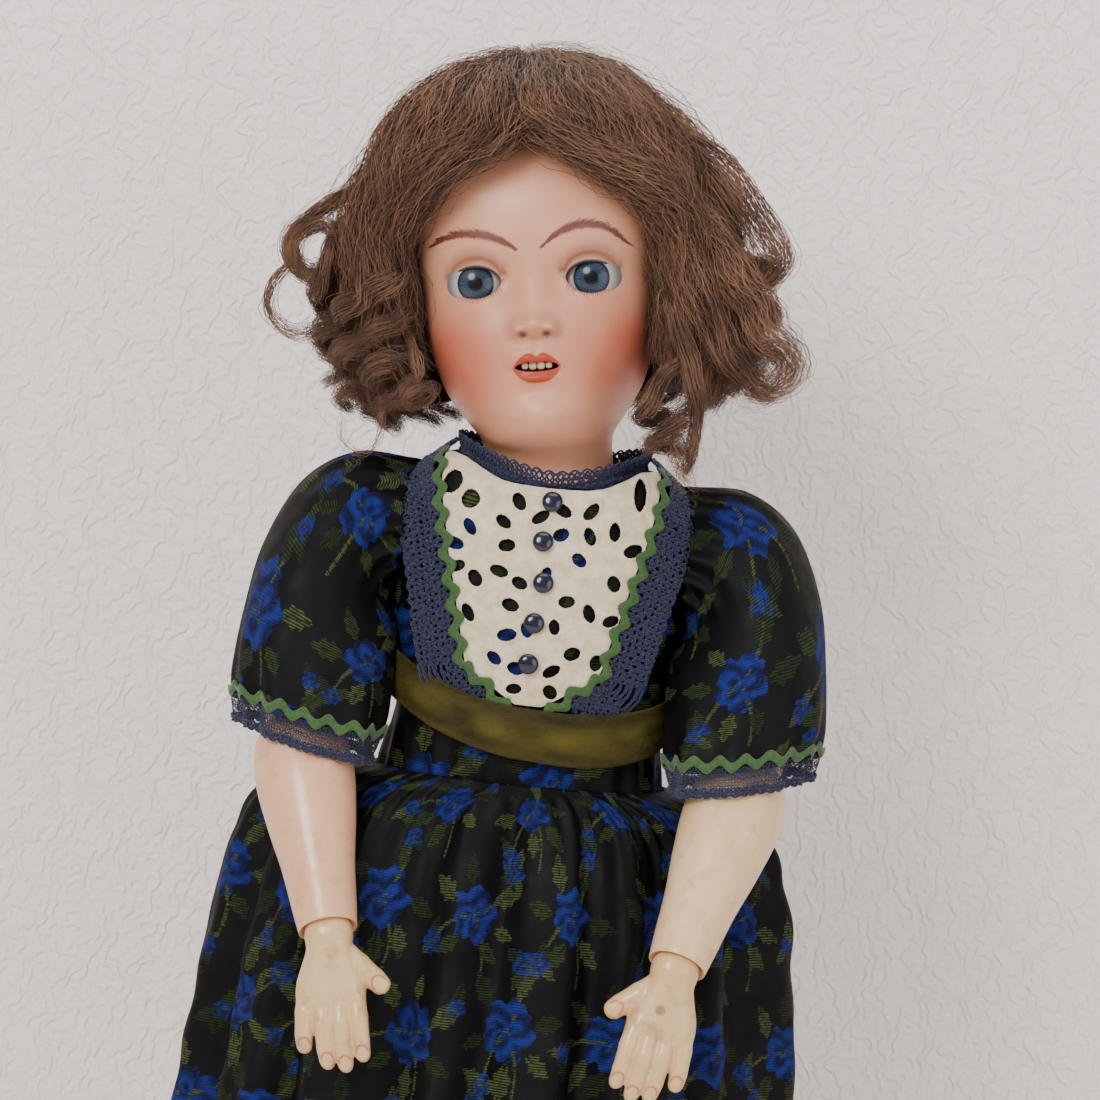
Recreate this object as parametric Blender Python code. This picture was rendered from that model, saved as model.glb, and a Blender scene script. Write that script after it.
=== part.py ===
"""Dressed bisque-head doll on a ball-jointed composition body, standing, facing -Y."""

import math

import bmesh
import bpy
import numpy as np

# ---------------------------------------------------------------- driving dimensions, centimetres
CM = 0.01
GAP = 0.035                     # running gap between neighbouring pieces
HAIR_GAP = 0.12                 # space between the wig and the head
CLOTH = 0.25                    # thickness of a garment
WALL = 0.45                     # thickness of the bisque

PIVOT = np.array([0.0, 0.4, 52.8])   # centre of the neck ball
HEAD_TILT = 9.0                 # degrees, toward -X
HEAD_YAW = -3.0                 # degrees, face toward -X
NECK_R = 3.3
EYE_R = 1.6
EYE = np.array([2.83, -3.75, 10.4])  # eyeball centre in the head's frame
EYE_OPENING = (1.35, 0.74)      # half width and half height
MOUTH = np.array([0.0, 0.0, 6.2])
MOUTH_OPENING = (1.0, 0.3)

SHOULDER = np.array([9.4, 0.0, 51.0])
ELBOW = np.array([11.5, -3.6, 41.3])
WRIST = np.array([8.3, -10.4, 30.9])
FINGERS = np.array([7.3, -12.0, 24.3])
SHOULDER_R = 2.35
ELBOW_R = 1.75
WRIST_R = 1.2

HIP = np.array([4.5, 0.0, 31.0])
KNEE = np.array([4.9, 0.1, 17.4])
ANKLE = np.array([5.0, 0.5, 4.2])
HIP_R = 2.5
KNEE_R = 2.0
BORE = 0.85                     # passage for the elastic through balls and limbs
CHEST_SIDE = np.array([4.2, 0.0, 46.5])  # where the arm elastic leaves the chest

WAIST_Z = 38.6
HEM_Z = 13.0
BUTTON_R = 0.47
BUTTONS = 5
BUTTON_TOP_Z = 52.3
BUTTON_STEP = 1.95

# z, half width, front depth, back depth
TORSO = [
    (31.0, 6.9, 4.3, 4.6), (32.6, 7.1, 4.7, 5.1), (35.0, 6.9, 4.9, 5.0), (38.5, 5.9, 4.6, 4.2),
    (42.0, 6.2, 5.0, 4.1), (46.0, 6.9, 5.1, 4.4), (49.0, 7.0, 4.7, 4.3), (50.5, 7.3, 4.3, 4.1),
    (51.6, 7.2, 4.1, 3.9), (52.3, 6.2, 3.9, 3.8), (52.7, 4.6, 3.8, 3.7),
]
# z, half width, front depth, back depth, in the head's frame
FACE = [
    (1.6, 3.15, 3.1, 3.15), (2.25, 3.2, 4.5, 3.4), (2.7, 3.6, 5.5, 3.9), (3.6, 4.3, 5.95, 4.5),
    (4.9, 5.0, 6.1, 5.3), (6.2, 5.4, 6.15, 5.9), (7.3, 5.7, 6.15, 6.3), (8.2, 5.85, 6.15, 6.6),
    (9.2, 5.95, 6.0, 6.8), (10.4, 6.05, 5.85, 6.9), (12.0, 6.25, 6.15, 7.1), (14.0, 6.3, 6.15, 7.0),
    (15.8, 5.9, 5.6, 6.5), (17.2, 4.9, 4.5, 5.6), (17.9, 3.9, 3.5, 4.6),
]

# ---------------------------------------------------------------- scene and materials
for existing in list(bpy.data.objects):
    bpy.data.objects.remove(existing, do_unlink=True)


def material(name, colour, roughness, metallic=0.0):
    mat = bpy.data.materials.new(name)
    mat.use_nodes = True
    shader = mat.node_tree.nodes["Principled BSDF"]
    shader.inputs["Base Color"].default_value = (*colour, 1.0)
    shader.inputs["Roughness"].default_value = roughness
    shader.inputs["Metallic"].default_value = metallic
    mat.diffuse_color = (*colour, 1.0)
    return mat


BISQUE = material("bisque", (0.62, 0.42, 0.34), 0.45)
COMPOSITION = material("painted_composition", (0.72, 0.55, 0.42), 0.3)
MOHAIR = material("mohair", (0.16, 0.08, 0.05), 0.7)
EYE_GLASS = material("eye_glass", (0.6, 0.65, 0.7), 0.08)
TEETH = material("teeth_porcelain", (0.85, 0.82, 0.76), 0.25)
PLASTER = material("plaster", (0.8, 0.78, 0.74), 0.9)
CARD = material("pate_card", (0.45, 0.33, 0.2), 0.9)
STEEL = material("steel_wire", (0.45, 0.44, 0.42), 0.4, 1.0)
LEAD = material("lead", (0.25, 0.25, 0.27), 0.6, 1.0)
WOOD = material("turned_wood", (0.5, 0.33, 0.18), 0.6)
ELASTIC = material("elastic_cord", (0.75, 0.72, 0.66), 0.8)
BROCADE = material("black_brocade", (0.012, 0.012, 0.016), 0.4)
COTTON = material("white_cotton", (0.8, 0.78, 0.72), 0.85)
EYELET = material("ivory_eyelet", (0.75, 0.69, 0.58), 0.8)
VELVET = material("olive_velvet", (0.12, 0.1, 0.02), 0.8)
BUTTON = material("button_glass", (0.01, 0.015, 0.05), 0.15)
LEATHER = material("black_leather", (0.015, 0.013, 0.012), 0.35)

# ---------------------------------------------------------------- mesh helpers


def make(name, verts, faces, mat, origin=(0.0, 0.0, 0.0), smooth=True):
    """A closed mesh object from points in centimetres, its origin on the given point."""
    origin = np.asarray(origin, float)
    mesh = bpy.data.meshes.new(name)
    points = (np.asarray(verts, float) - origin) * CM
    mesh.from_pydata([tuple(p) for p in points], [], [tuple(f) for f in faces])
    work = bmesh.new()
    work.from_mesh(mesh)
    bmesh.ops.recalc_face_normals(work, faces=work.faces)
    if work.calc_volume(signed=True) < 0:
        bmesh.ops.reverse_faces(work, faces=work.faces)
    work.to_mesh(mesh)
    work.free()
    for polygon in mesh.polygons:
        polygon.use_smooth = smooth
    mesh.materials.append(mat)
    obj = bpy.data.objects.new(name, mesh)
    obj.location = tuple(origin * CM)
    bpy.context.scene.collection.objects.link(obj)
    return obj


def skin(rings, ends="loop"):
    """Faces over a stack of equal rings: loop joins the last to the first, caps closes both ends."""
    rings = [np.asarray(ring, float) for ring in rings]
    count = len(rings[0])
    verts = np.concatenate(rings)
    faces = []
    spans = len(rings) if ends == "loop" else len(rings) - 1
    for low in range(spans):
        high = (low + 1) % len(rings)
        for i in range(count):
            j = (i + 1) % count
            faces.append((low * count + i, low * count + j, high * count + j, high * count + i))
    if ends == "caps":
        faces.append(tuple(range(count)))
        faces.append(tuple(range((len(rings) - 1) * count, len(rings) * count)))
    return verts, faces


def around(count, crowd=0.0):
    """Angles round a ring, starting at the front; crowd gathers the points toward the front."""
    turn = np.arange(count) * 2 * math.pi / count
    return turn - crowd * np.sin(turn)


def level(z, half, front, back, count=32, power=2.2, crowd=0.0, centre=(0.0, 0.0)):
    """A level ring with its own half width, front depth and back depth."""
    angle = around(count, crowd)
    side, ahead = np.sin(angle), np.cos(angle)
    fore, aft = power if isinstance(power, tuple) else (power, power)
    bend = np.where(ahead > 0, 2 / fore, 2 / aft)
    x = half * np.sign(side) * np.abs(side) ** bend
    y = -np.where(ahead > 0, front, back) * np.sign(ahead) * np.abs(ahead) ** bend
    return np.stack([centre[0] + x, centre[1] + y, np.full(count, float(z))], axis=1)


def inset(ring, amount):
    """The ring moved toward its own middle by the amount."""
    middle = ring.mean(axis=0)
    away = ring - middle
    length = np.linalg.norm(away, axis=1, keepdims=True)
    return middle + away * (1 - amount / length)


def hoop(centre, axis, radius, count=16, squash=1.0):
    """A ring about an axis; squash scales it in the direction that leans least toward Y."""
    axis = np.asarray(axis, float) / np.linalg.norm(axis)
    side = np.cross(axis, (0.0, 1.0, 0.0))
    side /= np.linalg.norm(side)
    front = np.cross(side, axis)
    angle = around(count)[:, None]
    return np.asarray(centre) + radius * (np.cos(angle) * front + squash * np.sin(angle) * side)


def globe(centre, radii, count=16, rows=9):
    """Rings of a whole ellipsoid, with small flat poles."""
    rings = []
    for k in range(rows):
        polar = math.pi * (k + 0.35) / (rows - 0.3)
        across = math.sin(polar)
        z = centre[2] + radii[2] * math.cos(polar)
        rings.append(level(z, radii[0] * across, radii[1] * across, radii[1] * across, count, 2.0,
                           centre=centre))
    return rings


def cutter(name, verts, faces):
    obj = make(name, verts, faces, STEEL)
    obj.hide_render = True
    obj.display_type = "WIRE"
    return obj


def combine(obj, other, operation="DIFFERENCE"):
    modifier = obj.modifiers.new(other.name, "BOOLEAN")
    modifier.operation = operation
    modifier.solver = "EXACT"
    modifier.object = other


def cut_globe(obj, centre, radius, count=18, rows=10):
    name = f"cut_{obj.name}_{len(obj.modifiers)}"
    radii = (radius,) * 3 if np.isscalar(radius) else radius
    combine(obj, cutter(name, *skin(globe(centre, radii, count, rows), "caps")))


def cut_rod(obj, start, end, radius, count=14, squash=1.0):
    start, end = np.asarray(start, float), np.asarray(end, float)
    name = f"cut_{obj.name}_{len(obj.modifiers)}"
    rings = [hoop(start, end - start, radius, count, squash),
             hoop(end, end - start, radius, count, squash)]
    combine(obj, cutter(name, *skin(rings, "caps")))


def cut_box(obj, low, high):
    name = f"cut_{obj.name}_{len(obj.modifiers)}"
    corners = [[(low[0], low[1]), (high[0], low[1]), (high[0], high[1]), (low[0], high[1])]] * 2
    rings = [[(x, y, z) for x, y in square] for square, z in zip(corners, (low[2], high[2]))]
    combine(obj, cutter(name, *skin(rings, "caps")))


def bored_ball(name, centre, radius, axis, mat, count=16, rows=7):
    """A turned ball with a straight passage through it."""
    axis = np.asarray(axis, float) / np.linalg.norm(axis)
    start = math.asin(BORE / radius)
    rings = []
    for polar in np.linspace(start, math.pi - start, rows):
        rings.append(hoop(centre + axis * radius * math.cos(polar), axis,
                          radius * math.sin(polar), count))
    return make(name, *skin(rings), mat, centre)


def limb(name, start, end, ball_start, ball_end, outline, mat, origin, count=16, squash=1.0):
    """A hollow limb with a cupped seat for the ball at each end.

    outline holds the distance from start and the radius of each ring of the outer face.
    """
    start, end = np.asarray(start, float), np.asarray(end, float)
    axis = (end - start) / np.linalg.norm(end - start)
    length = np.linalg.norm(end - start)
    rings = [hoop(start + axis * along, axis, radius, count, squash) for along, radius in outline]
    for centre, ball, rim, sign in ((end, ball_end, outline[-1], -1), (start, ball_start, outline[0], 1)):
        seat = seat_of(ball)
        reach = rim[0] if sign > 0 else length - rim[0]
        angle = math.atan2(rim[1], reach)
        mouth = hoop(centre + sign * axis * seat * math.cos(angle), axis, seat * math.sin(angle), count)
        half = hoop(centre + sign * axis * seat * math.cos(angle / 2 + 0.2), axis,
                    seat * math.sin(angle / 2 + 0.2), count)
        throat = hoop(centre + sign * axis * math.sqrt(seat**2 - BORE**2), axis, BORE, count)
        rings += [mouth, half, throat] if sign < 0 else [throat, half, mouth]
    return make(name, *skin(rings), mat, origin)


def tube(name, points, radius, mat, origin=(0.0, 0.0, 0.0), resolution=1):
    origin = np.asarray(origin, float)
    data = bpy.data.curves.new(name, "CURVE")
    data.dimensions = "3D"
    data.bevel_depth = radius * CM
    data.bevel_resolution = resolution
    data.use_fill_caps = True
    spline = data.splines.new("POLY")
    spline.points.add(len(points) - 1)
    for point, place in zip(spline.points, points):
        point.co = (*((np.asarray(place, float) - origin) * CM), 1.0)
    data.materials.append(mat)
    obj = bpy.data.objects.new(name, data)
    obj.location = tuple(origin * CM)
    bpy.context.scene.collection.objects.link(obj)
    return obj


def seat_of(ball):
    """The radius of the hollow that a ball turns in; it allows for both being faceted."""
    return ball * 1.035 + 0.02


def mirrored(point, side):
    return np.asarray(point, float) * (side, 1.0, 1.0)


def turned_head(points):
    """From the head's frame into the doll's."""
    tilt, yaw = math.radians(-HEAD_TILT), math.radians(HEAD_YAW)
    spin = np.array([[math.cos(yaw), -math.sin(yaw), 0], [math.sin(yaw), math.cos(yaw), 0], [0, 0, 1]])
    lean = np.array([[math.cos(tilt), 0, math.sin(tilt)], [0, 1, 0], [-math.sin(tilt), 0, math.cos(tilt)]])
    return np.asarray(points, float) @ (lean @ spin).T + PIVOT


def turned_rings(rings):
    return [turned_head(ring) for ring in rings]


# ---------------------------------------------------------------- head
HEAD_POINTS = 32


def nose(points):
    """Pulls the middle of the face forward into a nose, lips and chin."""
    points = points.copy()
    front = points[:, 1] < 0
    x, z = points[:, 0], points[:, 2]
    bumps = [(8.5, 0.6, 0.75, 0.85), (9.6, 0.4, 0.8, 0.35), (6.9, 0.8, 0.3, 0.25),
             (5.6, 0.8, 0.3, 0.2), (3.4, 1.3, 0.8, 0.35)]
    for middle, wide, tall, amount in bumps:
        lift = amount * np.exp(-(x / wide) ** 2 - ((z - middle) / tall) ** 2)
        points[:, 1] -= np.where(front, lift, 0.0)
    return points


def face_rings(grow=0.0):
    rings = []
    for z, half, front, back in FACE:
        ring = level(z, half + grow, front + grow, back + grow, HEAD_POINTS, 2.4, 0.5)
        rings.append(nose(ring))
    return rings


def neck_rings(radius, low, high, steps):
    """Rings of the ball-ended neck, from low to high, about the pivot."""
    rings = []
    for z in np.linspace(low, high, steps):
        across = math.sqrt(max(radius**2 - min(z, 0.0) ** 2, 0.01))
        rings.append(level(z, across, across, across, HEAD_POINTS, 2.0, 0.5))
    return rings


def cut_face(obj, centre, opening, deep, count):
    """Cuts an oval opening straight back through the face, as deep as the given y."""
    angle = around(count)
    oval = [np.stack([centre[0] + opening[0] * np.sin(angle), np.full(count, y),
                      centre[2] + opening[1] * np.cos(angle)], axis=1) for y in (deep, -14.0)]
    combine(obj, cutter(f"cut_{obj.name}_{len(obj.modifiers)}", *skin(turned_rings(oval), "caps")))


outer = neck_rings(NECK_R, -2.75, 0.0, 5) + face_rings()
inner = [level(z - 0.1, half - WALL, front - WALL, back - WALL, HEAD_POINTS, 2.4, 0.5)
         for z, half, front, back in FACE if z > 3.0]
neck_inside = NECK_R - WALL
inner += [level(z, neck_inside - 0.15, neck_inside - 0.15, neck_inside, HEAD_POINTS, 2.0, 0.5)
          for z in (2.9, 1.5)][::-1]
inner = sorted(inner, key=lambda ring: ring[0, 2])
inner = neck_rings(neck_inside, -2.4, 0.0, 4) + inner
head = make("bisque_head", *skin(turned_rings(outer + inner[::-1])), BISQUE, PIVOT)
for side in (-1, 1):
    centre = turned_head([mirrored(EYE, side)])[0]
    cut_globe(head, centre, seat_of(EYE_R))
    cut_face(head, mirrored(EYE, side), EYE_OPENING, -4.4, 18)
cut_face(head, MOUTH, MOUTH_OPENING, -4.9, 14)

pate = []
for share, z in ((0.12, 18.86), (0.4, 18.75), (0.72, 18.42), (0.98, 17.98), (0.9, 17.94), (0.66, 18.24),
                 (0.36, 18.55), (0.1, 18.66)):
    pate.append(level(z, 3.9 * share, 3.5 * share, 4.6 * share, 20, 2.2))
make("crown_pate", *skin(turned_rings(pate), "caps"), CARD, PIVOT)

teeth = []
for y in (-6.1, -5.85):
    teeth.append([(x, y, z) for x, z in ((-0.6, 6.24), (0.6, 6.24), (0.6, 6.4), (-0.6, 6.4))])
make("upper_teeth", *skin(turned_rings(teeth), "caps"), TEETH, PIVOT, smooth=False)

for side, word in ((-1, "right"), (1, "left")):
    centre = turned_head([mirrored(EYE, side)])[0]
    make(f"{word}_eyeball", *skin(turned_rings(globe(mirrored(EYE, side), (EYE_R,) * 3, 18, 10)), "caps"),
         EYE_GLASS, centre)
    block = []
    for z in (9.9, 10.9):
        corners = ((4.44, -3.1), (4.64, -3.1), (4.78, -2.4), (4.58, -2.4))
        block.append([(side * x, y, z) for x, y in corners])
    make(f"{word}_eye_plaster", *skin(turned_rings(block), "caps"), PLASTER, PIVOT, smooth=False)

EYE_AXIS = turned_head([(0.0, EYE[1], EYE[2])])[0]
wire = [(-1.18, EYE[1], 10.4), (-0.7, -3.6, 10.2), (0.0, -2.4, 6.8), (0.7, -3.6, 10.2), (1.18, EYE[1], 10.4)]
tube("eye_rocker", turned_head(wire), 0.11, STEEL, EYE_AXIS)
make("eye_counterweight", *skin(turned_rings(globe((0.0, -1.75, 5.9), (0.7, 0.7, 0.75), 16, 9)), "caps"),
     LEAD, EYE_AXIS)

# neck fittings: a wooden plug in the neck and the hook that hangs in it
plug = []
for z in (-1.95, -1.2, -0.4, 0.3):
    reach = neck_inside - 0.25
    across = math.sqrt(reach**2 - min(z, 0) ** 2)
    plug.append(level(z, across, across, across, 24, 2.0))
plug += [level(z, 0.75, 0.75, 0.75, 24, 2.0) for z in (0.3, -1.95)]
make("neck_plug", *skin(turned_rings(plug)), WOOD, PIVOT)
loop = [(0.55 * math.cos(a), 0.0, -3.75 + 0.55 * math.sin(a)) for a in np.linspace(0.5 * math.pi, 2.3 * math.pi, 9)]
knob = [(0.0, 0.0, 1.15), (0.45, 0.0, 1.3), (-0.1, 0.0, 1.55)]
tube("neck_hook", np.asarray(knob[::-1] + loop) + PIVOT, 0.16, STEEL, PIVOT)

# ---------------------------------------------------------------- wig
WIG = ((0.0, 0.9, 13.2), (9.7, 8.9, 9.2))


def wig_blob(centre, radii, grow=0.0, count=22, rows=11):
    return turned_rings(globe(centre, tuple(r + grow for r in radii), count, rows))


wig = make("wig_cap", *skin(wig_blob(*WIG), "caps"), MOHAIR, PIVOT)
skull = [level(z, half + HAIR_GAP, front + HAIR_GAP, back + HAIR_GAP, 24, 2.4, 0.4)
         for z, half, front, back in FACE[1:]]
skull.insert(0, level(-1.0, 3.6, 3.6, 3.6, 24, 2.0, 0.4))
skull += [level(z, half, front, back, 24, 2.4, 0.4) for z, half, front, back in
          ((18.3, 4.2, 3.8, 4.9), (18.85, 3.2, 2.9, 3.8), (19.15, 1.2, 1.1, 1.5))]
combine(wig, cutter("cut_wig_skull", *skin(turned_rings(skull), "caps")))
cut_face(wig, (0.0, 0.0, 9.0), (6.4, 8.3), -1.2, 28)
LOW_HAIR = [level(z, 16, 16, 16, 8, 2.0) for z in (-2.0, 4.4)]
combine(wig, cutter("cut_wig_low", *skin(turned_rings(LOW_HAIR), "caps")))
for word, centre, radii in (("right", (-10.4, -1.6, 8.6), (2.8, 2.6, 5.5)),
                            ("left", (9.5, -1.4, 6.3), (2.5, 2.5, 5.0))):
    curls = make(f"{word}_side_curls", *skin(wig_blob(centre, radii, 0, 16, 10), "caps"), MOHAIR, PIVOT)
    combine(curls, cutter(f"cut_{word}_side_curls", *skin(wig_blob(*WIG, 0.06), "caps")))
ringlet = [(7.0, -6.3, 8.3), (6.4, -6.6, 6.4), (6.0, -6.5, 4.2), (5.6, -6.2, 1.6)]
make("hanging_ringlet", *skin([turned_head(hoop(p, (0.1, 0, 1), r, 14)) for p, r in
                               zip(ringlet, (0.5, 0.85, 0.8, 0.45))], "caps"), MOHAIR, PIVOT)

# ---------------------------------------------------------------- torso
torso = make("torso", *skin([level(z, h, f, b, 26, 2.4) for z, h, f, b in
                             [(29.8, 3.0, 2.6, 2.8)] + TORSO], "caps"), COMPOSITION)
hollow = [level(z, h - 0.55, f - 0.55, b - 0.55, 20, 2.4) for z, h, f, b in TORSO if 34 < z < 49.5]
hollow[-1][:, 2] = 48.7
combine(torso, cutter("cut_torso_hollow", *skin(hollow, "caps")))
cut_globe(torso, PIVOT, seat_of(NECK_R) + GAP, 24, 12)
cut_rod(torso, PIVOT, PIVOT - (0, 0, 6.0), 1.9)
for side in (-1, 1):
    shoulder, hip = mirrored(SHOULDER, side), mirrored(HIP, side)
    cut_globe(torso, shoulder, seat_of(SHOULDER_R))
    cut_rod(torso, shoulder, mirrored(CHEST_SIDE, side), BORE)
    cut_globe(torso, hip, seat_of(HIP_R))
    cut_rod(torso, hip, mirrored((3.6, 0.0, 36.5), side), BORE)
    inside, outside = sorted((side * 1.35, side * 9.0))
    cut_box(torso, (inside, -8, 28), (outside, 8, 31.45))

# ---------------------------------------------------------------- arms


def finger(points, radii, frame, count=8):
    """Rings of one finger, its tip rounded off, from points in the hand's frame."""
    points = [np.asarray(p, float) for p in points]
    rings = []
    for k, (point, radius) in enumerate(zip(points, radii)):
        ahead = points[min(k + 1, len(points) - 1)] - points[max(k - 1, 0)]
        rings.append(frame(hoop(point, ahead, radius, count)))
    ahead = points[-1] - points[-2]
    ahead /= np.linalg.norm(ahead)
    rings.append(frame(hoop(points[-1] + ahead * radii[-1] * 0.75, ahead, radii[-1] * 0.55, count)))
    return rings


# across (+ toward the thumb), back of the hand (+ outward), along
FINGERS_AT = [
    [(1.15, 0.1, 3.1), (1.3, 0.15, 4.3), (1.35, -0.1, 5.4), (1.5, -0.35, 6.0)],
    [(0.4, 0.15, 3.2), (0.45, 0.25, 4.5), (0.55, -0.1, 5.8), (0.65, -0.45, 6.5)],
    [(-0.4, 0.1, 3.1), (-0.4, 0.15, 4.4), (-0.3, -0.2, 5.7), (-0.2, -0.55, 6.3)],
    [(-1.1, 0.0, 2.9), (-1.3, 0.0, 4.0), (-1.35, -0.2, 5.0), (-1.3, -0.45, 5.5)],
    [(0.7, 0.0, 0.9), (1.6, -0.05, 1.6), (2.25, -0.15, 2.3), (2.6, -0.25, 2.8)],
]

for side, word in ((-1, "right"), (1, "left")):
    shoulder, elbow, wrist = (mirrored(p, side) for p in (SHOULDER, ELBOW, WRIST))
    tips = mirrored(FINGERS, side)
    upper, lower = elbow - shoulder, wrist - elbow
    long_upper, long_lower = np.linalg.norm(upper), np.linalg.norm(lower)
    ball = make(f"{word}_shoulder_ball", *skin(globe(shoulder, (SHOULDER_R,) * 3, 18, 10), "caps"),
                COMPOSITION, shoulder)
    for way in (upper / long_upper, mirrored(CHEST_SIDE - SHOULDER, side) / 6.8):
        cut_rod(ball, shoulder - way * 0.5, shoulder + way * (SHOULDER_R + 1.0), BORE)
    limb(f"{word}_upper_arm", shoulder, elbow, SHOULDER_R, ELBOW_R,
         [(1.55, 1.98), (2.4, 2.05), (4.2, 2.03), (6.2, 1.95), (long_upper - 2.2, 1.85),
          (long_upper - 1.35, 1.6)], COMPOSITION, shoulder)
    bored_ball(f"{word}_elbow_ball", elbow, ELBOW_R,
               upper / long_upper + lower / long_lower, COMPOSITION)
    limb(f"{word}_lower_arm", elbow, wrist, ELBOW_R, WRIST_R,
         [(1.35, 1.6), (2.2, 2.1), (4.0, 2.35), (6.5, 2.1), (9.0, 1.75), (long_lower - 1.0, 1.52),
          (long_lower - 0.35, 1.42)], COMPOSITION, elbow)
    along = (tips - wrist) / np.linalg.norm(tips - wrist)
    thumbward = np.cross(along, (0, side, 0))
    thumbward /= np.linalg.norm(thumbward)
    back = np.cross(thumbward, along) * side
    back = back if back[1] < 0 else -back
    thumbward = thumbward if thumbward[0] * side < 0 else -thumbward
    basis = np.stack([thumbward, back, along])

    def frame(points, basis=basis, wrist=wrist):
        return np.asarray(points) @ basis + wrist

    palm = [(-1.15, 0.35, 0.3), (-0.95, 0.75, 0.7), (-0.55, 1.05, 1.03), (0.0, 1.16, 1.13), (0.6, 1.11, 1.04),
            (1.3, 1.3, 0.95), (2.2, 1.62, 0.85), (3.0, 1.68, 0.72), (3.6, 1.55, 0.55)]
    rings = []
    for reach, wide, thick in palm:
        ring = level(0.0, wide, thick, thick, 16, 2.3)
        rings.append(frame(np.stack([ring[:, 0], ring[:, 1], np.full(16, reach)], axis=1)))
    hand = make(f"{word}_hand", *skin(rings, "caps"), COMPOSITION, wrist)
    for number, points in enumerate(FINGERS_AT):
        radii = (0.5, 0.46, 0.42, 0.36) if number < 4 else (0.75, 0.62, 0.52, 0.45)
        digit = cutter(f"add_{word}_finger_{number}", *skin(finger(points, radii, frame), "caps"))
        combine(hand, digit, "UNION")

    # sleeve: inner and outer edge of each ring seen from the front, middle y and half depth
    edges = [((7.9, 46.9), (7.9, 53.8), 0.0, 3.3), ((7.85, 46.2), (10.6, 53.6), -0.2, 3.6),
             ((7.8, 45.3), (12.9, 51.6), -0.9, 3.8), ((7.75, 44.2), (14.3, 48.2), -1.6, 3.9),
             ((7.75, 42.9), (14.7, 45.0), -2.4, 4.0), ((7.75, 41.2), (14.8, 42.6), -3.2, 4.1),
             ((7.7, 39.6), (14.75, 41.0), -3.8, 4.1)]
    shell = []
    for low, high, y, depth in edges:
        middle = np.array([(low[0] + high[0]) / 2 * side, y, (low[1] + high[1]) / 2])
        half = np.array([(high[0] - low[0]) / 2 * side, 0.0, (high[1] - low[1]) / 2])
        angle = around(20)[:, None]
        shell.append(middle + np.cos(angle) * half + np.sin(angle) * np.array([0.0, depth, 0.0]))
    make(f"{word}_sleeve", *skin(shell + [inset(ring, CLOTH) for ring in shell[::-1]]), BROCADE, shoulder)

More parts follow.
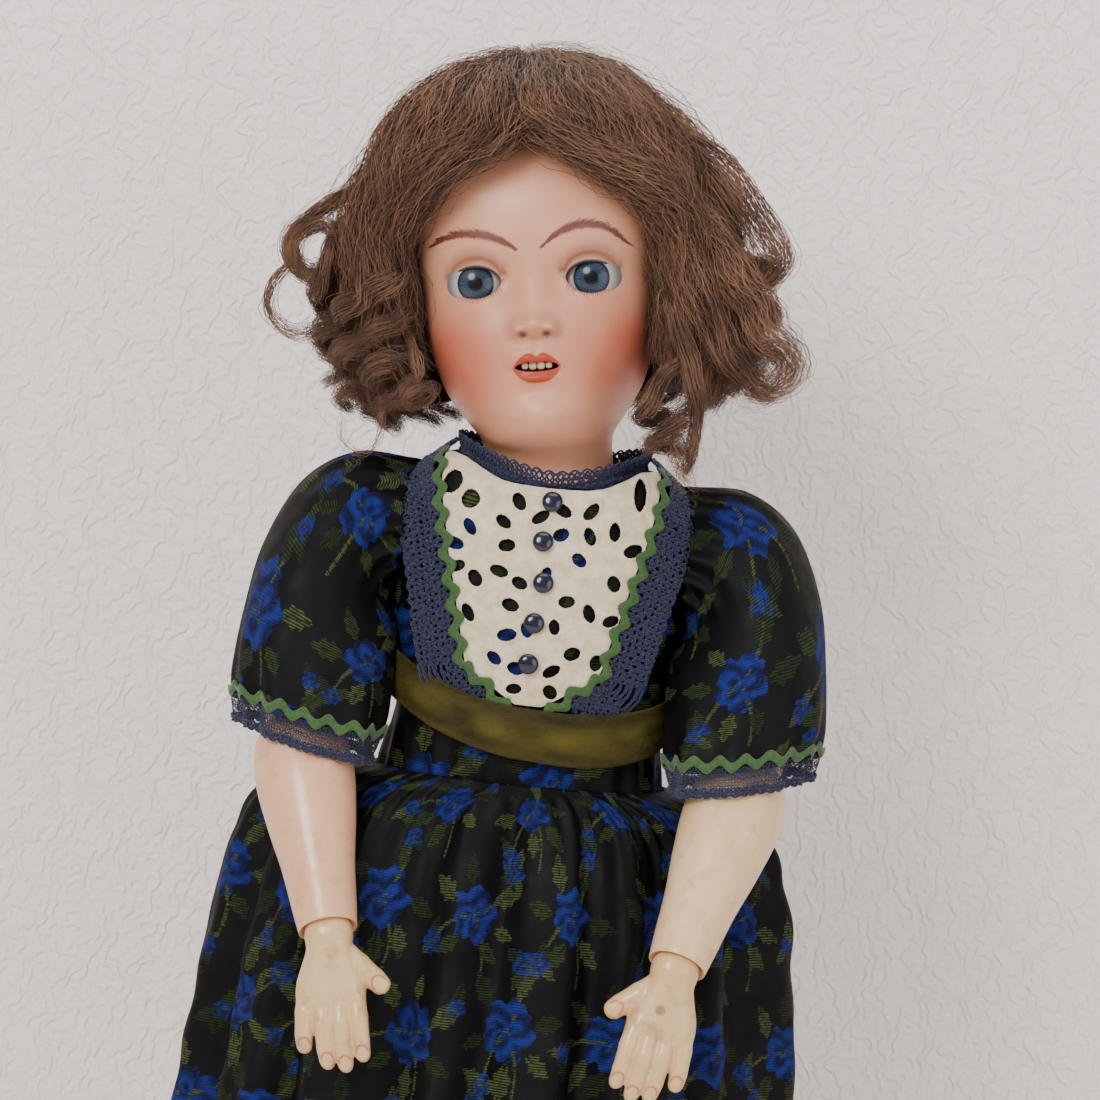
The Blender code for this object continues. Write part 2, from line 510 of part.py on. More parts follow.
# ---------------------------------------------------------------- legs
for side, word in ((-1, "right"), (1, "left")):
    hip, knee, ankle = (mirrored(p, side) for p in (HIP, KNEE, ANKLE))
    thigh, shin = knee - hip, ankle - knee
    long_thigh = np.linalg.norm(thigh)
    bored_ball(f"{word}_hip_ball", hip, HIP_R, thigh, COMPOSITION)
    limb(f"{word}_thigh", hip, knee, HIP_R, KNEE_R,
         [(1.3, 2.75), (2.4, 3.3), (4.6, 3.35), (7.4, 2.9), (long_thigh - 2.6, 2.4),
          (long_thigh - 1.2, 2.05)], COMPOSITION, hip)
    bored_ball(f"{word}_knee_ball", knee, KNEE_R, thigh, COMPOSITION)

    # lower leg: cupped top, calf, ankle and foot, open down the middle for the elastic
    seat = seat_of(KNEE_R)
    top = [level(knee[2] - d, r, r, r, 16, 2.0, centre=knee[:2]) for d, r in
           ((math.sqrt(seat**2 - BORE**2), BORE), (1.55, math.sqrt(seat**2 - 1.55**2)),
            (1.05, seat * math.sin(math.acos(1.05 / seat))))]
    shank = [(1.2, 2.05, 0.1), (2.2, 2.3, 0.15), (4.6, 2.55, 0.4), (7.2, 2.3, 0.5), (10.0, 1.75, 0.5),
             (12.0, 1.5, 0.5)]
    body = [level(knee[2] - d, r, r, r + lean * 0.5, 16, 2.0, centre=(knee[0], knee[1] + lean * 0.3))
            for d, r, lean in shank]
    # z, half width, front reach, back reach of the foot
    foot = [(3.9, 1.55, 1.9, 1.65), (3.0, 1.6, 2.7, 1.75), (2.1, 1.65, 3.6, 1.8), (1.4, 1.7, 4.6, 1.75),
            (0.75, 1.6, 5.1, 1.6)]
    body += [level(z, w, f, b, 16, 2.3, centre=(knee[0], ankle[1])) for z, w, f, b in foot]
    bottom = [level(z, BORE * 0.8, BORE * 0.8, BORE * 0.8, 16, 2.0, centre=(knee[0], ankle[1])) for z in (4.2,)]
    well = [level(4.2, 0.02, 0.02, 0.02, 16, 2.0, centre=(knee[0], ankle[1]))]
    rings = well + bottom + top + body
    make(f"{word}_lower_leg", *skin(rings, "caps"), COMPOSITION, knee)

    def around_leg(grow, lift, sole, count=16):
        """The lower leg and foot grown outward, from the top of the sock down."""
        rings = [level(knee[2] - d, r + grow, r + grow, r + grow + lean * 0.5, count, 2.0,
                       centre=(knee[0], knee[1] + lean * 0.3)) for d, r, lean in shank[3:]]
        rings += [level(z + lift, w + grow, f + grow, b + grow, count, 2.3, centre=(knee[0], ankle[1]))
                  for z, w, f, b in foot]
        rings[-1][:, 2] = sole
        return rings

    make(f"{word}_sock", *skin(around_leg(0.09, 0.05, 0.7)[::-1] + around_leg(0.27, 0.22, 0.58), "caps"),
         COTTON, knee)

    upper = [(0.0, 1.95, 5.5, 1.95), (0.35, 2.15, 5.85, 2.2), (1.3, 2.2, 5.85, 2.3), (2.2, 2.15, 5.1, 2.3),
             (2.9, 2.1, 3.3, 2.25)]
    shoe = make(f"{word}_shoe", *skin([level(z, w, f, b, 18, 2.4, centre=(knee[0], ankle[1]))
                                       for z, w, f, b in upper], "caps"), LEATHER, knee)
    combine(shoe, cutter(f"cut_{word}_shoe", *skin(around_leg(0.36, 0.32, 0.5, 18), "caps")))

    # instep strap, an arch over the sock
    strap = []
    for y, crest in ((-2.45, 3.95), (-3.1, 3.5)):
        bend = np.linspace(-1.4, 1.4, 9)
        out, into = [], []
        for a in bend:
            x, z = 2.0 * math.sin(a), 3.0 + (crest - 3.0) * math.cos(a)
            out.append((knee[0] + x * 1.07, ankle[1] + y, z + 0.13))
            into.append((knee[0] + x, ankle[1] + y, z))
        strap.append(out + into[::-1])
    make(f"{word}_shoe_strap", *skin(strap, "caps"), LEATHER, knee)

# ---------------------------------------------------------------- elastic stringing


def strung(points, tight=0.3):
    """The path with each corner turned within a short distance, as cord turns round a hook or in a ball."""
    points = [np.asarray(p, float) for p in points]
    path = [points[0]]
    for before, corner, after in zip(points[:-2], points[1:-1], points[2:]):
        for other in (before, after):
            path.append(corner + (other - corner) * tight / np.linalg.norm(other - corner))
    return path + [points[-1]]


WRIST_END = WRIST + (ELBOW - WRIST) * 0.11
arms = [WRIST_END, ELBOW, SHOULDER, CHEST_SIDE, (1.6, -0.9, 46.0)]
tube("arm_elastic", strung([mirrored(p, 1) for p in arms] + [mirrored(p, -1) for p in arms[::-1]]),
     0.22, ELASTIC)
legs = [(4.9, 0.25, 5.4), KNEE, HIP, (3.7, 0.1, 36.0), (0.7, 0.4, 47.7)]
tube("leg_elastic", strung([mirrored(p, 1) for p in legs] + [mirrored(p, -1) for p in legs[::-1]]),
     0.22, ELASTIC)

# ---------------------------------------------------------------- dress
BODICE = [(z, h + 0.42, f + 0.6, b + 0.6) for z, h, f, b in TORSO if 40 < z < 52]
BODICE = [(WAIST_Z, 6.45, 5.2, 4.8)] + BODICE + [(52.75, 6.3, 4.4, 4.35), (53.15, 4.9, 4.25, 4.2)]


def garment(name, levels, count=26, power=2.4, mat=BROCADE, centre=(0.0, 0.0), thick=CLOTH):
    outside = [level(*row, count, power, centre=centre) for row in levels]
    inside = [inset(ring, thick) for ring in outside[::-1]]
    return make(name, *skin(outside + inside), mat)


bodice = garment("bodice", BODICE)
for side in (-1, 1):
    cut_rod(bodice, mirrored(SHOULDER - (2.9, 0, 0), side), mirrored(SHOULDER + (2.0, 0, 0), side), 2.75, 22)


def bodice_front(x, z, lift):
    """The point on the bodice's front at x and z, lifted off it."""
    zs = [row[0] for row in BODICE]
    half = np.interp(z, zs, [row[1] for row in BODICE])
    front = np.interp(z, zs, [row[2] for row in BODICE])
    share = min(abs(x) / half, 0.995)
    return np.array([x, -(front + lift) * (1 - share**2.4) ** (1 / 2.4), z])


def panel(name, corners, lift, thick, mat, columns=11, rows=8):
    """A thin closed panel lying on the bodice's front, between two edges given down its length."""
    front, rear = [], []
    for z, half in corners(rows):
        xs = np.linspace(-half, half, columns)
        front.append([bodice_front(x, z, lift + thick) for x in xs])
        rear.append([bodice_front(x, z, lift) for x in xs])
    rings = [list(f) + list(r[::-1]) for f, r in zip(front, rear)]
    return make(name, *skin(rings, "caps"), mat)


def bib_outline(rows):
    """Height and half width down the bib: wide at the neck, a blunt point above the sash."""
    out = []
    for share in np.linspace(0, 1, rows):
        z = 52.2 - share * 9.6
        half = 5.1 - 2.4 * share if share < 0.85 else 3.06 - 2.3 * (share - 0.85) / 0.15
        out.append((z, half))
    return out


panel("eyelet_bib", bib_outline, 0.2, 0.13, EYELET)

collar = [level(z, r, r, r, 24, 2.0, centre=PIVOT[:2]) for z, r in
          ((53.25, 4.35), (54.25, 4.15), (54.25, 3.95), (53.25, 4.1))]
make("neck_band", *skin(collar), EYELET)

for number in range(BUTTONS):
    z = BUTTON_TOP_Z - number * BUTTON_STEP
    centre = bodice_front(0.0, z, 0.47)
    disc = [np.stack([centre[0] + radius * np.sin(around(12)), np.full(12, centre[1] - depth),
                      centre[2] + radius * np.cos(around(12))], axis=1)
            for depth, radius in ((0.0, 0.38), (0.08, BUTTON_R), (0.2, BUTTON_R), (0.3, 0.3))]
    make(f"button_{number + 1}", *skin(disc, "caps"), BUTTON, centre)

# sash: dips at the front
SASH_HALF = 1.25


def sash_ring(height, lift):
    ring = []
    for angle in around(28):
        ahead = math.cos(angle)
        z = 43.1 - 2.0 * max(ahead, 0.0) ** 1.5 + height
        zs = [row[0] for row in BODICE]
        half, front, back = (np.interp(z, zs, [row[k] for row in BODICE]) for k in (1, 2, 3))
        side = math.sin(angle)
        depth = front if ahead > 0 else back
        x = (half + lift) * math.copysign(abs(side) ** (2 / 2.4), side)
        ring.append((x, -(depth + lift) * math.copysign(abs(ahead) ** (2 / 2.4), ahead), z))
    return np.array(ring)


SASH = ((-SASH_HALF, 0.3), (SASH_HALF, 0.3), (SASH_HALF, 0.1), (-SASH_HALF, 0.1))
make("velvet_sash", *skin([sash_ring(*row) for row in SASH]), VELVET)


def pleated(name, levels, folds, mat, count, thick=CLOTH):
    """A full skirt: rings of folds that deepen down its length."""
    outside = []
    for z, half, front, back, depth, fore in levels:
        ring = level(z, half, front, back, count, (fore, 2.2))
        wave = depth * np.cos(np.arange(count) * 2 * math.pi * folds / count)
        outside.append(inset(ring, wave[:, None]))
    inside = [inset(ring, thick) for ring in outside[::-1]]
    return make(name, *skin(outside + inside), mat)


# z, half width, front depth, back depth, depth of the folds, roundness of the front
SKIRT = [(38.45, 6.6, 5.5, 4.95, 0.0, 2.4), (37.7, 9.4, 6.2, 6.4, 0.1, 1.9), (36.6, 11.6, 6.7, 7.8, 0.2, 1.7),
         (34.0, 13.6, 7.6, 9.2, 0.3, 1.7), (30.0, 14.3, 8.4, 10.0, 0.3, 1.7), (24.0, 14.8, 9.0, 10.8, 0.35, 1.7),
         (18.0, 15.2, 9.6, 11.4, 0.4, 1.7), (HEM_Z, 15.4, 10.0, 11.8, 0.45, 1.7)]
pleated("skirt", SKIRT, 18, BROCADE, 54)
PETTICOAT = [(37.4, 7.5, 5.85, 5.75, 0.0, 2.4), (36.4, 9.2, 5.95, 6.6, 0.0, 2.0),
             (34.0, 12.0, 6.7, 8.2, 0.0, 1.75), (30.0, 12.9, 7.4, 9.0, 0.0, 1.7),
             (22.0, 13.4, 8.1, 9.8, 0.0, 1.7), (HEM_Z - 1.2, 13.8, 8.8, 10.6, 0.0, 1.7)]
pleated("petticoat", PETTICOAT, 0, COTTON, 24, 0.2)

# drawers: hips and two legs, hollow throughout
HIPS = [(37.0, 6.95, 5.3, 5.3), (35.0, 7.4, 5.25, 5.35), (32.0, 8.55, 5.3, 5.6), (28.9, 8.6, 5.0, 5.3)]
drawers = make("drawers", *skin([level(*row, 22, 2.4) for row in HIPS], "caps"), COTTON)
LEG = [(31.5, 3.8), (29.0, 3.8), (25.0, 3.8), (21.5, 3.6)]
LEG_X = 4.62


def drawer_leg(side, shrink, low):
    rings = [level(z, r - shrink, r - shrink, r - shrink, 16, 2.0, centre=(side * LEG_X, 0.0)) for z, r in LEG]
    rings[-1][:, 2] = low
    return skin(rings, "caps")


for side in (-1, 1):
    combine(drawers, cutter(f"add_drawer_leg_{side}", *drawer_leg(side, 0.0, 21.5)), "UNION")
inside = [level(z, h - 0.2, f - 0.2, b - 0.2, 22, 2.4) for z, h, f, b in HIPS]
inside[0][:, 2] = 37.6
inside[-1][:, 2] = 29.3
combine(drawers, cutter("cut_drawers_hips", *skin(inside, "caps")))
for side in (-1, 1):
    combine(drawers, cutter(f"cut_drawer_leg_{side}", *drawer_leg(side, 0.2, 21.0)))
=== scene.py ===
"""A bisque-head child doll in a brocade dress, dressed on the CAD's frame. Lengths are in cm unless said."""
import math

import bpy
import numpy as np
from mathutils import Matrix, Vector


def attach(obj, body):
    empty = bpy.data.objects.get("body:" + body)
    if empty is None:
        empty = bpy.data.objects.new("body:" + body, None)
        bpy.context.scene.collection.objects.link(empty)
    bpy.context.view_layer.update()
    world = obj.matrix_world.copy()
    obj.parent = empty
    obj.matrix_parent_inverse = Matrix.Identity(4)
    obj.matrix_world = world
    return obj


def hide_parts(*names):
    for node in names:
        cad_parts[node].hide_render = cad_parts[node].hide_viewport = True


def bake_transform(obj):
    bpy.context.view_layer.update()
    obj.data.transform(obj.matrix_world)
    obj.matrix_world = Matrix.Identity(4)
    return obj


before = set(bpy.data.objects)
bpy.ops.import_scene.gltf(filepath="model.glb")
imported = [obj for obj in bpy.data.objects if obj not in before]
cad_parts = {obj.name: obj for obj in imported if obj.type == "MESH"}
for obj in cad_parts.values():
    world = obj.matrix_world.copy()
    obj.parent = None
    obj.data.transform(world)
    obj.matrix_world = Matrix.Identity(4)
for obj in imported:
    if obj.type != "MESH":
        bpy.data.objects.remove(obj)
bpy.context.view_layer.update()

CM = 0.01
dice = np.random.default_rng(7)

# the CAD's own dimensions
PIVOT = np.array([0.0, 0.4, 52.8])
HEAD_TILT, HEAD_YAW = 9.0, -3.0
EYE_R, EYE = 1.6, np.array([2.83, -3.75, 10.4])
SHOULDER, ELBOW = np.array([9.4, 0.0, 51.0]), np.array([11.5, -3.6, 41.3])
WRIST, FINGERS = np.array([8.3, -10.4, 30.9]), np.array([7.3, -12.0, 24.3])
HIP, KNEE, ANKLE = np.array([4.5, 0.0, 31.0]), np.array([4.9, 0.1, 17.4]), np.array([5.0, 0.5, 4.2])
SHOULDER_R = 2.35
WAIST_Z, HEM_Z = 38.6, 13.0
TORSO = [(35.0, 6.9, 4.9, 5.0), (38.5, 5.9, 4.6, 4.2), (42.0, 6.2, 5.0, 4.1), (46.0, 6.9, 5.1, 4.4),
         (49.0, 7.0, 4.7, 4.3), (50.5, 7.3, 4.3, 4.1), (51.6, 7.2, 4.1, 3.9)]
# outline of neck and head: height, half width, front and back depth; slimmer at the jaw than the CAD's
FACE = [(-2.75, 1.85, 1.85, 1.85), (-2.0, 2.62, 2.62, 2.62), (-1.0, 3.14, 3.14, 3.14), (0.0, 3.3, 3.3, 3.3),
        (1.3, 3.18, 3.15, 3.2), (2.15, 3.2, 3.9, 3.4), (2.65, 3.3, 5.0, 3.8), (3.6, 3.95, 5.8, 4.5),
        (4.9, 4.8, 6.05, 5.3), (6.2, 5.3, 6.15, 5.9), (7.3, 5.58, 6.15, 6.3), (8.2, 5.75, 6.15, 6.6),
        (9.2, 5.9, 6.0, 6.8), (10.4, 6.0, 5.85, 6.9), (12.0, 6.25, 6.15, 7.1), (14.0, 6.3, 6.15, 7.0),
        (15.8, 5.9, 5.6, 6.5), (17.2, 4.9, 4.5, 5.6), (17.9, 3.9, 3.5, 4.6)]
SIDES = ((-1, "right"), (1, "left"))


# ---------------------------------------------------------------- numbers
def linear(red, green, blue):
    """An sRGB colour of 0 to 255 as linear light."""
    c = np.array([red, green, blue]) / 255.0
    return np.where(c <= 0.04045, c / 12.92, ((c + 0.055) / 1.055) ** 2.4)


def bell(x, middle, wide):
    return np.exp(-(((x - middle) / wide) ** 2))


def ramp(x, low, high):
    t = np.clip((x - low) / (high - low), 0, 1)
    return t * t * (3 - 2 * t)


def blend(colour, other, share):
    share = np.clip(np.asarray(share), 0, 1)[..., None]
    return colour * (1 - share) + np.asarray(other) * share


def curve(at, keys, values):
    """A smooth line through values at the rising keys; values may hold several columns."""
    keys, values, at = (np.asarray(a, float) for a in (keys, values, at))
    slope = np.gradient(values, keys, axis=0)
    k = np.clip(np.searchsorted(keys, at) - 1, 0, len(keys) - 2)
    gap = keys[k + 1] - keys[k]
    t = np.clip((at - keys[k]) / gap, 0, 1)
    if values.ndim > 1:
        t, gap = t[..., None], gap[..., None]
    return ((1 + 2 * t) * (1 - t) ** 2 * values[k] + t * (1 - t) ** 2 * gap * slope[k]
            + t * t * (3 - 2 * t) * values[k + 1] + t * t * (t - 1) * gap * slope[k + 1])


def rows_at(zs, table):
    table = np.asarray(sorted(table), float)
    return curve(zs, table[:, 0], table[:, 1:])


def unit(v):
    return v / np.maximum(np.linalg.norm(v, axis=-1, keepdims=True), 1e-9)


def mirrored(point, side):
    return np.asarray(point, float) * (side, 1.0, 1.0)


def oval(angle, half, front, back, fore=2.4, aft=2.4):
    """Points of a level superellipse ring; angle 0 is the front, and it turns toward +X."""
    side, ahead = np.sin(angle), np.cos(angle)
    x = half * np.sign(side) * np.abs(side) ** np.where(ahead > 0, 2 / fore, 2 / aft)
    depth = np.where(ahead > 0, front, back)
    y = -depth * np.sign(ahead) * np.abs(ahead) ** np.where(ahead > 0, 2 / fore, 2 / aft)
    return x, y


def even_ring(half, front, back, fore, aft, columns):
    """A ring's points spaced evenly along it, from the back round by -X, and its girth."""
    x, y = oval(np.linspace(math.pi, 3 * math.pi, 721), half, front, back, fore, aft)
    along = np.concatenate([[0], np.cumsum(np.hypot(np.diff(x), np.diff(y)))])
    at = np.arange(columns) / columns * along[-1]
    return np.stack([np.interp(at, along, x), np.interp(at, along, y)], 1), along[-1]


def spread(line, count):
    """The line's points respaced evenly."""
    line = np.asarray(line, float)
    along = np.concatenate([[0], np.cumsum(np.linalg.norm(np.diff(line, axis=0), axis=1))])
    at = np.linspace(0, along[-1], count)
    return np.stack([np.interp(at, along, line[:, k]) for k in range(3)], 1)


def bent(points, count):
    """A smooth line through a few points, count points long."""
    points = np.asarray(points, float)
    return spread(curve(np.linspace(0, len(points) - 1, 12 * len(points)), np.arange(len(points)), points),
                  count)


def ripple(x, y, seed, scale=1.0, terms=7):
    """Smooth irregular waves of about unit height."""
    die = np.random.default_rng(seed)
    total = 0.0
    for _ in range(terms):
        fx, fy = die.normal(0, 1, 2) / scale
        total = total + np.sin(x * fx + y * fy + die.uniform(0, 6.28))
    return total / math.sqrt(terms)


# ---------------------------------------------------------------- meshes
def grid(rows, columns, wrap=True):
    r = np.arange(rows - 1)[:, None] * columns
    c = np.arange(columns if wrap else columns - 1)[None, :]
    d = (c + 1) % columns
    return np.stack([r + c, r + d, r + columns + d, r + columns + c], -1).reshape(-1, 4)


def grid_normals(points, wrap=True):
    across = np.roll(points, -1, 1) - np.roll(points, 1, 1) if wrap else np.gradient(points, axis=1)
    return unit(np.cross(across, np.gradient(points, axis=0)))


def shell(points, thick, wrap=True):
    """Verts and faces of a sheet with a back to it, whose verts follow the front's in the same order."""
    rows, columns = points.shape[:2]
    count = rows * columns
    inner = points - grid_normals(points, wrap) * thick
    outer = grid(rows, columns, wrap)
    faces = [outer, outer[:, ::-1] + count]
    edge = np.arange(columns if wrap else columns - 1)
    following = (edge + 1) % columns
    for row, turn in ((0, 1), ((rows - 1) * columns, -1)):
        rim = np.stack([row + following, row + edge, count + row + edge, count + row + following], 1)
        faces.append(rim[:, ::turn])
    if not wrap:
        up = np.arange(rows - 1) * columns
        for column, turn in ((0, 1), (columns - 1, -1)):
            rim = np.stack([up + column, up + column + columns, count + up + column + columns,
                            count + up + column], 1)
            faces.append(rim[:, ::turn])
    return np.concatenate([points.reshape(-1, 3), inner.reshape(-1, 3)]), np.concatenate(faces)


def lathe(points):
    """Verts and faces of rings closed at both ends."""
    rows, columns = points.shape[:2]
    verts = np.concatenate([points.reshape(-1, 3), points[0].mean(0)[None], points[-1].mean(0)[None]])
    c = np.arange(columns)
    d = (c + 1) % columns
    low, high = rows * columns, rows * columns + 1
    last = (rows - 1) * columns
    ends = np.concatenate([np.stack([d, c, np.full(columns, low)], 1),
                           np.stack([last + c, last + d, np.full(columns, high)], 1)])
    return verts, [grid(rows, columns), ends]


def tubes(lines, radius, sides=3):
    """Verts and faces of a tube along each of lines, (count, points, 3); radius may vary over both."""
    lines = np.asarray(lines, float)
    count, length = lines.shape[:2]
    along = unit(np.gradient(lines, axis=1))
    a = unit(np.cross(along, (0.31, 0.9, 0.13)))
    b = np.cross(along, a)
    turn = np.arange(sides) * 2 * math.pi / sides
    radius = np.broadcast_to(radius, (count, length))[..., None, None]
    verts = lines[:, :, None] + radius * (np.cos(turn)[:, None] * a[:, :, None] + np.sin(turn)[:,
            None] * b[:, :, None])
    faces = grid(length, sides)[None] + (np.arange(count) * length * sides)[:, None, None]
    return verts.reshape(-1, 3), faces.reshape(-1, 4)


def joined(parts):
    """Several (verts, faces) as one; faces of one part may come as a list of blocks."""
    verts, faces, at = [], [], 0
    for v, f in parts:
        faces += [block + at for block in (f if isinstance(f, list) else [f])]
        verts.append(v)
        at += len(v)
    return np.concatenate(verts), faces


def piece(name, verts, faces, look, body=None, slot=None, replaces=(), uv=None, smooth=True, **paints):
    """A mesh object of the doll; paints are per-vertex numbers or colours its material reads."""
    data = bpy.data.meshes.new(name)
    blocks = faces if isinstance(faces, list) else [faces]
    sizes = np.concatenate([np.full(len(b), b.shape[1]) for b in blocks])
    loops = np.concatenate([np.asarray(b).reshape(-1) for b in blocks]).astype(np.int32)
    data.vertices.add(len(verts))
    data.vertices.foreach_set("co", (np.asarray(verts) * CM).astype(np.float32).reshape(-1))
    data.loops.add(len(loops))
    data.loops.foreach_set("vertex_index", loops)
    data.polygons.add(len(sizes))
    data.polygons.foreach_set("loop_start", np.concatenate([[0], np.cumsum(sizes)[:-1]]).astype(np.int32))
    data.update(calc_edges=True)
    data.polygons.foreach_set("use_smooth", np.full(len(sizes), smooth))
    if uv is not None:
        layer = data.uv_layers.new(name="cloth")
        layer.data.foreach_set("uv", (np.asarray(uv)[loops] * CM).astype(np.float32).reshape(-1))
    for key, values in paints.items():
        values = np.asarray(values, np.float32)
        if values.ndim == 2:
            values = np.concatenate([values, np.ones((len(values), 1), np.float32)], 1)
            data.attributes.new(key, "FLOAT_COLOR", "POINT").data.foreach_set("color", values.reshape(-1))
        else:
            data.attributes.new(key, "FLOAT", "POINT").data.foreach_set("value", values)
    data.materials.append(look)
    obj = bpy.data.objects.new(name, data)
    bpy.context.scene.collection.objects.link(obj)
    if body:
        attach(obj, body)
    if replaces:
        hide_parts(*replaces)
    return obj


# ---------------------------------------------------------------- materials
class Look:
    """A node material built up from a Principled shader."""

    def __init__(self, name, colour=(0.5, 0.5, 0.5), roughness=0.5, **uniform):
        self.material = bpy.data.materials.new(name)
        self.material.use_nodes = True
        self.tree = self.material.node_tree
        self.shader = self.tree.nodes["Principled BSDF"]
        self.shader.inputs["Base Color"].default_value = (*colour, 1.0)
        self.shader.inputs["Roughness"].default_value = roughness
        for key, value in uniform.items():
            self.shader.inputs[key.replace("_", " ")].default_value = value
        self.where = self.add("TexCoord").outputs["Object"]

    def add(self, kind, inputs=None, **settings):
        node = self.tree.nodes.new("ShaderNode" + kind)
        for key, value in settings.items():
            setattr(node, key, value)
        for key, value in (inputs or {}).items():
            self.put(node.inputs[key], value)
        return node

    def put(self, socket, value):
        if isinstance(value, bpy.types.NodeSocket):
            self.tree.links.new(value, socket)
        elif value is not None:
            socket.default_value = (*value, 1.0) if hasattr(value, "__len__") and len(value) == 3 and \
                socket.type == "RGBA" else value

    def math(self, operation, a, b=None, c=None, clamp=False):
        node = self.add("Math", {0: a, 1: b, 2: c}, operation=operation, use_clamp=clamp)
        return node.outputs[0]

    def noise(self, scale, detail=3.0, rough=0.55, low=0.0, high=1.0, stretch=None):
        where = self.where
        if stretch:
            where = self.add("Mapping", {"Vector": where, "Scale": stretch}).outputs[0]
        node = self.add("TexNoise", {"Vector": where, "Scale": scale, "Detail": detail, "Roughness": rough})
        return self.add("MapRange", {"Value": node.outputs[0], "From Min": 0.3, "From Max": 0.7,
                                     "To Min": low, "To Max": high}).outputs[0]

    def spots(self, scale, low, high):
        """1 inside scattered soft spots."""
        node = self.add("TexVoronoi", {"Vector": self.where, "Scale": scale})
        return self.add("MapRange", {"Value": node.outputs[0], "From Min": low, "From Max": high,
                                     "To Min": 1.0, "To Max": 0.0}).outputs[0]

    def paint(self, name, colour=True):
        node = self.add("Attribute", attribute_name=name)
        return node.outputs["Color" if colour else "Fac"]

    def mix(self, factor, a, b, way="MIX"):
        node = self.add("Mix", data_type="RGBA", blend_type=way)
        for key, value in (("Factor", factor), ("A", a), ("B", b)):
            wanted = "VALUE" if key == "Factor" else "RGBA"
            socket = [s for s in node.inputs if s.name == key and s.type == wanted][0]
            self.put(socket, value)
        return [s for s in node.outputs if s.type == "RGBA"][0]

    def colour(self, value):
        self.put(self.shader.inputs["Base Color"], value)

    def rough(self, value):
        self.put(self.shader.inputs["Roughness"], value)

    def bump(self, height, distance, strength=1.0):
        earlier = self.shader.inputs["Normal"].links
        earlier = earlier[0].from_socket if earlier else None
        node = self.add("Bump", {"Height": height, "Distance": distance, "Strength": strength,
                                 "Normal": earlier})
        self.put(self.shader.inputs["Normal"], node.outputs[0])


def bisque_look():
    look = Look("bisque_painted", roughness=0.42, Subsurface_Weight=0.12, Subsurface_Scale=0.004,
                Coat_Weight=0.12)
    look.shader.inputs["Coat Roughness"].default_value = 0.3
    grain = look.noise(900, 2, low=0.95, high=1.03)
    wash = look.noise(28, 4, low=0.965, high=1.02)
    look.colour(look.mix(1.0, look.mix(1.0, look.paint("paint"), grain, "MULTIPLY"), wash, "MULTIPLY"))
    look.rough(look.noise(220, 3, low=0.36, high=0.5))
    look.bump(look.noise(1500, 2), 0.00004, 0.5)
    return look.material


def composition_look(name, colour, grime):
    """Varnished oil paint over composition, yellowed, worn and chipped."""
    look = Look(name, roughness=0.34, Coat_Weight=0.35)
    look.shader.inputs["Coat Roughness"].default_value = 0.18
    tone = look.mix(look.noise(22, 4, low=0.0, high=0.8), colour, np.asarray(colour) * (0.9, 0.83, 0.74))
    tone = look.mix(look.noise(75, 5, 0.65, low=-0.9, high=0.75), tone, grime)
    tone = look.mix(look.math("MULTIPLY", look.spots(34, 0.07, 0.11), look.noise(60, 2, low=-0.5, high=1.3),
                              clamp=True),
                    tone, linear(150, 112, 78))
    tone = look.mix(look.paint("nail", False), tone, linear(176, 62, 52))
    look.colour(tone)
    look.rough(look.noise(140, 4, low=0.24, high=0.5))
    look.bump(look.noise(90, 5), 0.0003, 0.35)
    return look.material


def hair_look():
    look = Look("mohair_strands", roughness=0.62, Specular_IOR_Level=0.18, Sheen_Weight=0.12)
    # tone carries each strand's own tone, with painted highlights along its kinks and painted shade on the
    # deeper locks
    tone = look.mix(look.paint("tone", False), linear(28, 17, 13), linear(156, 114, 86))
    tone = look.mix(look.noise(260, 3, low=-0.2, high=0.45), tone, linear(80, 52, 39))
    look.colour(tone)
    return look.material


def brocade_look():
    """Black satin with raised coloured threads where the vertices carry flowers and leaves."""
    look = Look("brocade_woven", roughness=0.66, Specular_IOR_Level=0.14)
    uv = look.add("UVMap", uv_map="cloth").outputs[0]
    split = look.add("SeparateXYZ", {0: uv})
    jitter = look.noise(420, 2, low=-0.5, high=0.5)
    phase = look.math("MULTIPLY_ADD", split.outputs[1], 2 * math.pi / 0.0013, jitter)
    stripe = look.math("MULTIPLY_ADD", look.math("SINE", phase), 0.7, 0.6, clamp=True)
    fine = look.math("MULTIPLY_ADD", look.math("SINE", look.math("MULTIPLY", phase, 1.9)), 0.35, 0.75,
                     clamp=True)
    hatch = look.paint("hatch", False)
    threads = look.math("ADD", look.math("MULTIPLY", stripe, hatch),
                        look.math("MULTIPLY", fine, look.math("SUBTRACT", 1.0, hatch)))
    edge = look.math("ADD", look.paint("cover", False), look.noise(900, 2, low=-0.3, high=0.26))
    solid = look.add("MapRange", {"Value": edge, "From Min": 0.42, "From Max": 0.6}).outputs[0]
    raised = look.math("MULTIPLY", solid, threads)
    ground = look.mix(look.noise(60, 4, low=0.0, high=1.0), linear(3, 3, 4), linear(7, 7, 8))
    tint = look.mix(look.noise(300, 3, low=-0.2, high=0.5), look.paint("tint"), linear(12, 14, 24))
    look.colour(look.mix(raised, ground, tint))
    look.rough(look.math("MULTIPLY_ADD", raised, 0.3, look.noise(80, 3, low=0.52, high=0.7)))
    look.bump(raised, 0.0005, 0.8)
    look.bump(look.noise(700, 2, stretch=(1, 1, 4)), 0.0001, 0.5)
    return look.material


def cloth_look(name, light, dark, scale=160, weave=0.0002, roughness=0.85, **more):
    look = Look(name, roughness=roughness, Sheen_Weight=0.2, **more)
    look.colour(look.mix(look.noise(scale, 5, 0.65), light, dark))
    look.bump(look.noise(1400, 2), weave, 0.8)
    look.bump(look.noise(130, 4), 0.0006, 0.5)
    return look.material


